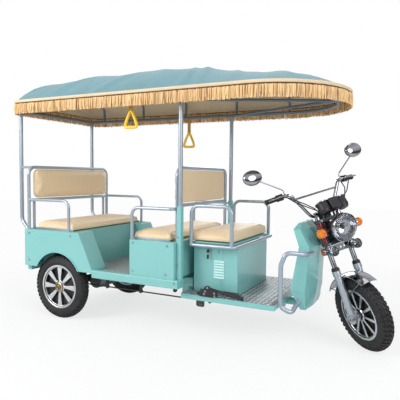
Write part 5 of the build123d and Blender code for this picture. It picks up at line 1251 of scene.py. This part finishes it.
def make_turn_lamps():
    """Ribbed amber lamps on their stalks, and the round reflectors below."""
    base = lathe([(0, -0.002), (0.020, -0.002), (0.026, 0.003), (0.0285, 0.009), (0.0285, 0.0125),
                  (0, 0.0125)], steps=32)
    ribs = [(0.0, 0.0125), (0.0272, 0.0125)]
    for number in range(9):
        height = 0.0145 + number * 0.0031
        ribs += [(0.0280, height), (0.0268, height + 0.0015)]
    ribs += [(0.0262, 0.0435), (0.0225, 0.0515), (0.0140, 0.0575), (0, 0.0600)]
    lens = lathe(ribs, steps=32)
    stalk = lathe([(0.0070, -0.014), (0.0070, 0.0), (0.0085, 0.0), (0.0085, -0.003), (0.0070, -0.014)],
                  steps=18)
    disc = lathe([(0, 0.0015), (0.0205, 0.0015), (0.0210, 0.0065), (0.0170, 0.0076), (0, 0.0080)], steps=36)
    ring = lathe([(0.0205, 0.0003), (0.0230, 0.0003), (0.0232, 0.0070), (0.0222, 0.0084), (0.0208, 0.0078),
                  (0.0205, 0.0003)], steps=36)
    amber = Piece("turn_lamp_lenses", AMBER)
    holders = Piece("turn_lamp_holders", CHROME)
    marks = Piece("side_reflectors", REFLECTOR)
    for side in (-1, 1):
        away = Matrix.Rotation(-side * pi / 2, 4, "X")
        spot = fork(TURN_LAMP_AT, side) @ away
        amber.put(lens, spot)
        holders.put(base, spot).put(stalk, spot)
        low = fork(REFLECTOR_AT, side) @ away
        marks.put(disc, low)
        holders.put(ring, low)
    amber.done("steering", "amber_lens", ["indicators"], sharp=28)
    holders.done("steering", "bright_chrome")
    marks.done("steering", "amber_lens")


def make_spot_lamps():
    """Two small bowls with bright rings, dark spiders and clear glass."""
    bowl = lathe([(0, 0.0815), (0.016, 0.0815), (0.0215, 0.088), (0.0275, 0.1010), (0.0300, 0.1200),
                  (0.0318, 0.1230), (0.0322, 0.1370), (0.0310, 0.1400), (0.0292, 0.1402), (0.0280, 0.1370),
                  (0.0270, 0.1300), (0.0160, 0.1130), (0.0060, 0.1070), (0, 0.1060)], steps=40)
    glass = lathe([(0.0282, 0.1350), (0.0270, 0.1385), (0.0150, 0.1410), (0, 0.1418), (0, 0.1402),
                   (0.0150, 0.1394), (0.0262, 0.1362), (0.0282, 0.1350)], steps=40)
    boss = lathe([(0, 0.1300), (0.0105, 0.1300), (0.0105, 0.1350), (0.0085, 0.1365), (0, 0.1365)], steps=24)
    arm = brick((0.054, 0.0042, 0.0030), round_by=0.0008)
    places = [fork(SPOT_LAMP_AT, side) @ TURN_X for side in (-1, 1)]
    single("spot_lamp_bowls", CHROME, bowl, "steering", "bright_chrome", places, ["spot_lamps"], sharp=40)
    single("spot_lamp_glass", LAMP_GLASS, glass, "steering", "lamp_glass", places, sharp=50)
    arms = [place @ lifted(0.1335) @ Matrix.Rotation(number * pi / 3 + 0.3, 4, "Z")
            for place in places for number in range(3)]
    spiders = Piece("spot_lamp_spiders", BLACK_PLASTIC)
    spiders.put(boss, *places).put(arm, *arms)
    spiders.done("steering", "black_plastic")


def make_gauges():
    """Bright bezels, dials with their marks and pointers, and the square pod's screen."""
    rim = lathe([(0.0355, 0.0300), (0.0400, 0.0300), (0.0424, 0.0330), (0.0424, 0.0375), (0.0405, 0.0392),
                 (0.0380, 0.0386), (0.0362, 0.0350), (0.0355, 0.0300)], steps=48)
    dial = lathe([(0, 0.0300), (0.0365, 0.0300), (0.0365, 0.0346), (0, 0.0346)], steps=40)
    tick = painted(brick((0.0050, 0.0009, 0.0006)), 1)
    long_tick = painted(brick((0.0085, 0.0016, 0.0006)), 1)
    pointer = painted(brick((0.0250, 0.0018, 0.0010), round_by=0.0003), 2)
    bezels = Piece("gauge_bezels", CHROME)
    faces = Piece("gauge_dials", DIAL, DIAL_MARK, RED)
    for side in (-1, 1):
        pod = fork(GAUGE_AT, side) @ GAUGE_TILT
        bezels.put(rim, pod)
        faces.put(dial, pod)
        for number in range(25):
            turn = Matrix.Rotation(radians(-130 + number * 260 / 24), 4, "Z")
            mark = tick if number % 4 else long_tick
            faces.put(mark, pod @ turn @ Matrix.Translation((0.0290, 0, 0.0349)))
        at_rest = Matrix.Rotation(radians(-118), 4, "Z")
        faces.put(pointer, pod @ at_rest @ Matrix.Translation((0.0110, 0, 0.0356)))
    square = fork(POD_AT) @ GAUGE_TILT
    bezels.put(plate(oblong(0.029, 0.030), 0.0022, 0.0006, 0.006), square @ lifted(0.0355))
    faces.put(plate(oblong(0.025, 0.026), 0.0008, 0, 0.004), square @ lifted(0.0377))
    bezels.done("steering", "bright_chrome", sharp=40)
    faces.done("steering", "black_plastic")


RIB_PITCH = 0.0042
GRIP_FROM = 0.52                       # shares of the bar's outer run
SWITCH_FROM = 0.26


def make_grips():
    """Ribbed rubber grips with end caps, and the switch housings with their buttons."""
    rubber = Piece("ribbed_grips", GRIP)
    switches = Piece("switch_housings", BLACK_PLASTIC, RED)
    for side in (-1, 1):
        start, end = bar_run(side, GRIP_FROM), bar_run(side, 1.0)
        length = (end - start).length
        profile = [(0.0114, 0.0), (0.0225, 0.0), (0.0235, 0.0015), (0.0225, 0.0040), (0.0165, 0.0055)]
        for number in range(int((length - 0.018) / RIB_PITCH)):
            height = 0.0060 + number * RIB_PITCH
            profile += [(0.0170, height + 0.0004), (0.0170, height + 0.0020), (0.0156, height + 0.0026),
                        (0.0156, height + 0.0036)]
        profile += [(0.0180, length - 0.0100), (0.0186, length - 0.0040), (0.0160, length),
                    (0, length + 0.0005)]
        rubber.put(lathe(profile, steps=28), STEERING @ aim(start, end - start))
        first = bar_run(side, SWITCH_FROM)
        housing = STEERING @ aim(first, end - start)
        reach = (start - first).length
        shell = [(0.0116, 0.0008), (0.0200, 0.0008), (0.0225, 0.0035), (0.0225, reach * 0.47),
                 (0.0216, reach * 0.49), (0.0216, reach * 0.51), (0.0225, reach * 0.53),
                 (0.0225, reach - 0.0035), (0.0205, reach - 0.0008), (0.0116, reach - 0.0008)]
        switches.put(lathe(shell, steps=32), housing)
        facing = Matrix.Rotation(radians(150), 4, "Z") @ TURN_X @ lifted(0.0215)
        for spot, size, material in ((0.35, 0.008, 0), (0.68, 0.006, 1)):
            button = lathe([(0, 0), (size, 0), (size, 0.004), (size * 0.8, 0.0055), (0, 0.006)], steps=16,
                           material=material)
            switches.put(button, housing @ lifted(reach * spot) @ facing)
    rubber.done("steering", "grip_rubber", ["grips"], sharp=30)
    switches.done("steering", "black_plastic", sharp=35)


def make_mirrors():
    """The glasses, in dark rubber rims, facing back, and the drawn domes of their backs."""
    # radius as a share of the oval, height as a share of the glass's standing
    rim = lathe([(0.90, 0), (1.0, 0), (1.012, 0.3), (1.0, 0.62), (0.955, 0.70), (0.93, 0.45), (0.90, 0)],
                steps=56)
    glass = lathe([(0, 0), (0.945, 0), (0.945, 0.40), (0.60, 0.46), (0, 0.50)], steps=56)
    arc = [(1.006 * cos(step * pi / 36), MIRROR_BACK * sin(step * pi / 36)) for step in range(18)]
    dome = lathe([(0.90, 0)] + arc + [(0, MIRROR_BACK)], steps=56)
    backs, fronts = [], []
    for side in (-1, 1):
        place = fork(MIRROR_AT, side)
        backs.append(place @ Matrix.Translation((MIRROR_RIM, 0, 0)) @ TURN_X
                     @ Matrix.Diagonal((*MIRROR_HALF, 1, 1)))
        fronts.append(place @ Matrix.Translation((0.0002, 0, 0)) @ TURN_BACK
                      @ Matrix.Diagonal((*MIRROR_HALF, 0.006, 1)))
    single("mirror_domes", CHROME, dome, "steering", "bright_chrome", backs, sharp=60)
    single("mirror_rims", BLACK_PLASTIC, rim, "steering", "black_plastic", fronts, sharp=40)
    single("mirror_glasses", MIRROR_GLASS, glass, "steering", "bright_chrome", fronts, sharp=60)


STANCHION_X = 0.060
# ahead and aside of the steering axis, height, head size, and the way it faces
CLAMP_SCREWS = [(x, y, 0.6795, 0.004, Matrix()) for x in (-0.010, 0.010) for y in (0.030, 0.050)]
CLAMP_SCREWS += [(STANCHION_X, LEG_Y, 0.6505, 0.0095, Matrix()), (0.0857, 0.105, 0.436, 0.0055, TURN_X),
                 (0.0857, 0.062, 0.436, 0.0055, TURN_X)]


def make_fork_trim():
    """Dust collars, pinch bolts and the stem nut."""
    collar = lathe([(0.0172, 0.286), (0.0262, 0.286), (0.0270, 0.290), (0.0250, 0.2955), (0.0255, 0.3000),
                    (0.0225, 0.3060), (0.0185, 0.3075), (0.0172, 0.286)], steps=32)
    bolts = Piece("fork_bolts", STEEL)
    head = bolt_head(0.010)
    for side in (-1, 1):
        for height in (0.461, 0.617):
            bolts.put(head, fork((0.0882, LEG_Y - 0.008, height), side) @ TURN_X)
        for x, y, height, size, turn in CLAMP_SCREWS:
            bolts.put(dome_head(size), fork((x, y, height), side) @ turn)
    bolts.put(bolt_head(0.030), fork((0, 0, 0.6290)))
    legs = [fork((STANCHION_X, LEG_Y, 0), side) for side in (-1, 1)]
    single("dust_collars", GRIP, collar, "steering", "grip_rubber", legs)
    bolts.done("steering", "plain_steel", sharp=35)


make_headlight()
make_turn_lamps()
make_spot_lamps()
make_gauges()
make_grips()
make_mirrors()
make_fork_trim()


# ----------------------------------------------------------- body's fittings
RIGHT = Matrix.Rotation(pi / 2, 4, "X")        # a fitting's Z turned out of the right side
LEFT = Matrix.Rotation(-pi / 2, 4, "X")
SIDES = ((-1, RIGHT), (1, LEFT))
# distance ahead of the rear axle, height, head size, of bolts in both sides
SIDE_BOLTS = [("middle_seat_box", 0.692, 0.641, 0.010), ("middle_seat_box", 0.968, 0.638, 0.010),
              ("middle_seat_box", 0.692, 0.445, 0.010), ("middle_seat_box", 0.958, 0.445, 0.010),
              ("side_sills", 1.030, 0.507, 0.010), ("side_sills", 1.030, 0.700, 0.010),
              ("side_sills", 1.030, 0.395, 0.010), ("rear_tub", -0.281, 0.650, 0.011),
              ("rear_tub", 0.142, 0.650, 0.011), ("rear_tub", -0.281, 0.440, 0.011),
              ("rear_chassis", 0.500, 0.360, 0.009), ("rear_chassis", 0.800, 0.360, 0.009)]
INNERMOST_BOLT = 0.25                  # nearer to the middle there is no outer wall to screw into
DECK_SCREW_Y = 0.375
STOP_AT = (1.034, 0.350)               # ahead of the rear axle, height


def make_fittings():
    """Bolts in the body's sides and on the decks, and the rubber stops of the sills."""
    piece = Piece("body_bolts", STEEL)
    heads = {}
    for node, ahead, height, size in SIDE_BOLTS:
        head = heads.setdefault(size, bolt_head(size))
        for side, turn in SIDES:
            meet = surface(node, (0, -side, 0))((AXLE_X + ahead, 0, height))
            if meet and abs(meet.y) > INNERMOST_BOLT:
                piece.put(head, Matrix.Translation(meet) @ turn)
    deck = surface("floor_decks")
    screw = dome_head(0.0065)
    low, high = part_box("driver_box")
    for x in (low.x - 0.022, (low.x + high.x) / 2, high.x + 0.024, high.x + 0.150, high.x + 0.260):
        for y in (-DECK_SCREW_Y, DECK_SCREW_Y):
            meet = deck((x, y, 0))
            if meet:
                piece.put(screw, Matrix.Translation(meet))
    piece.done("vehicle", "plain_steel", sharp=35)
    stop = lathe([(0, -0.004), (0.013, -0.004), (0.014, 0.006), (0.012, 0.013), (0.007, 0.016), (0, 0.016)],
                 steps=24)
    ahead, height = STOP_AT
    out = abs(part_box("side_sills")[0].y) - 0.014
    single("rubber_stops", GRIP, stop, "vehicle", "grip_rubber",
           [Matrix.Translation((AXLE_X + ahead, side * out, height)) @ turn for side, turn in SIDES])


LOCK_Z = 0.6065
SEAM_BACK = 0.112                      # the upright seam, behind the box's front


def make_box_trim():
    """The driver's box: its folded seams, the lock's face and its hanging key."""
    low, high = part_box("driver_box")
    middle = (low + high) / 2
    seam_x = high.x - SEAM_BACK
    wall = surface("driver_box", (0, 1, 0))((seam_x, 0, 0.40)).y - 0.0004
    seam = Piece("box_seam", PAINT)
    seam.put(brick((0.0026, 0.0016, high.z - low.z - 0.010), round_by=0.0005),
             Matrix.Translation((seam_x, wall, middle.z)))
    seam.put(brick((high.x - low.x - 0.014, 0.0016, 0.0024), round_by=0.0005),
             Matrix.Translation((middle.x, wall, high.z - 0.020)))
    seam.done("vehicle", "body_paint")
    key = Piece("lock_and_key", STEEL, BLACK_PLASTIC)

    def hang(shape, out, height=0.0, turn=Matrix()):
        """Puts a part of the lock this far out of the box and above the keyhole."""
        place = Matrix.Translation((middle.x - 0.044, low.y - out, LOCK_Z + height))
        key.put(shape, place @ turn)

    hang(lathe([(0.0030, 0), (0.0090, 0), (0.0095, 0.0012), (0.0080, 0.0026), (0.0030, 0.0030), (0.0030, 0)],
               steps=28), 0, turn=RIGHT)
    hang(brick((0.0018, 0.0180, 0.0070), round_by=0.0005), 0.0080)
    hang(plate([(-0.009, -0.022), (0.009, -0.022), (0.010, 0), (-0.010, 0)], 0.0030, 0.0008, 0.005,
               material=1), 0.0150, 0.006, RIGHT)
    ring = [(0.008 * cos(tau * step / 8), 0.0, 0.008 * sin(tau * step / 8)) for step in range(8)]
    hang(tube(ring, 0.0016, sides=6, closed=True), 0.0165, -0.021)
    hang(plate([(-0.008, -0.030), (0.008, -0.030), (0.008, 0), (-0.008, 0)], 0.0022, 0.0006, 0.003,
               material=1), 0.0155, -0.028, RIGHT)
    key.done("vehicle", "plain_steel")


BRACKET = [(0.0, 0.008), (0.004, 0.026), (0.044, 0.046), (0.062, 0.074), (0.090, 0.076), (0.108, 0.050),
           (0.146, 0.040), (0.154, 0.012), (0.120, 0.001), (0.026, 0.000)]
BRACKET_BOLTS = [(0.076, 0.062), (0.060, 0.036), (0.052, 0.018), (0.126, 0.030), (0.128, 0.012)]
HANDLE = [(0.095, 0.052), (0.160, 0.040), (0.300, 0.019)]
HANDLE_GRIP = [(0.205, 0.0330), (0.260, 0.0250), (0.320, 0.0165)]


def make_lever_trim():
    """The parking lever's bracket plate, bolts, handle and grip, on the deck's right edge."""
    low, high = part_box("brake_linkage")
    deck = surface("floor_decks")((high.x, low.y * 0.85, 0)).z
    corner = Vector((high.x - 0.262, low.y - 0.006, deck))

    def at(x, z, y=0.0):
        """A place ahead of the bracket's corner, above it and to its left."""
        return corner + Vector((x, y, z))

    piece = Piece("lever_bracket", BLACK_PLASTIC, STEEL, GRIP)
    piece.put(plate(BRACKET, 0.004, 0.001, 0.006), Matrix.Translation(corner) @ RIGHT)
    piece.put(tube([at(x, z, 0.012) for x, z in HANDLE], 0.018, sides=12))
    piece.put(tube([at(x, z, 0.012) for x, z in HANDLE_GRIP], 0.025, sides=14, material=2))
    head = painted(bolt_head(0.0085), 1)
    piece.put(head, *[Matrix.Translation(at(x, z, -0.004)) @ RIGHT for x, z in BRACKET_BOLTS])
    piece.done("vehicle", "black_plastic", sharp=35)


def make_hand_grips():
    """Moulded triangular handles on stitched belts."""
    handles = Piece("roof_handles", YELLOW)
    belts = Piece("handle_belts", BELT)
    points = [vert.co for vert in frame["nodes"]["hand_straps"].data.vertices]
    middle = centre("hand_straps").x
    for side in (-1, 1):
        mine = [point for point in points if point.y * side > 0]
        low, high = min(point.z for point in mine), max(point.z for point in mine)
        y = sum(point.y for point in mine) / len(mine)
        base, tip = low + 0.009, low + 0.122
        half = [(0.030, base), (0.046, base + 0.002), (0.049, base + 0.016), (0.036, base + 0.052),
                (0.015, tip - 0.016), (0.007, tip)]
        outline = [(-x, z) for x, z in half] + half[::-1] + [(0.0, base - 0.001)]
        grip = tube([(x, 0, z) for x, z in outline], 0.0215, sides=12, closed=True)
        handles.put(grip, Matrix.Translation((middle, y, 0)) @ Matrix.Diagonal((1, 0.85, 1, 1)))
        for aside in (0.0030, -0.0030):
            belts.put(brick((0.026, 0.0022, high - tip + 0.004), round_by=0.0006),
                      Matrix.Translation((middle, y + aside, (high + tip) / 2 - 0.002)))
        belts.put(brick((0.030, 0.0110, 0.0160), round_by=0.002),
                  Matrix.Translation((middle, y, tip + 0.016)))
    handles.done("vehicle", "yellow_plastic", ["hand_straps"], sharp=50)
    belts.done("vehicle", "yellow_plastic")


def make_seat_strips():
    """Bright edge strips round the foot of each seat, with corner screws."""
    piece = Piece("seat_strips", TUBE_PAINT)
    screws = Piece("seat_screws", STEEL)
    screw = dome_head(0.0040)
    for node in ("rear_seat_cushion", "middle_seat_cushion"):
        low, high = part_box(node)
        middle = (low + high) / 2
        for side, turn in SIDES:
            piece.put(brick((high.x - low.x, 0.0020, 0.0130), round_by=0.0006),
                      Matrix.Translation((middle.x, side * (high.y - 0.0012), low.z + 0.0068)))
            for x in (low.x + 0.020, middle.x, high.x - 0.020):
                screws.put(screw, Matrix.Translation((x, side * high.y, low.z + 0.0070)) @ turn)
    piece.done("vehicle", "plain_steel")
    screws.done("vehicle", "plain_steel")


make_fittings()
make_box_trim()
make_lever_trim()
make_hand_grips()
make_seat_strips()
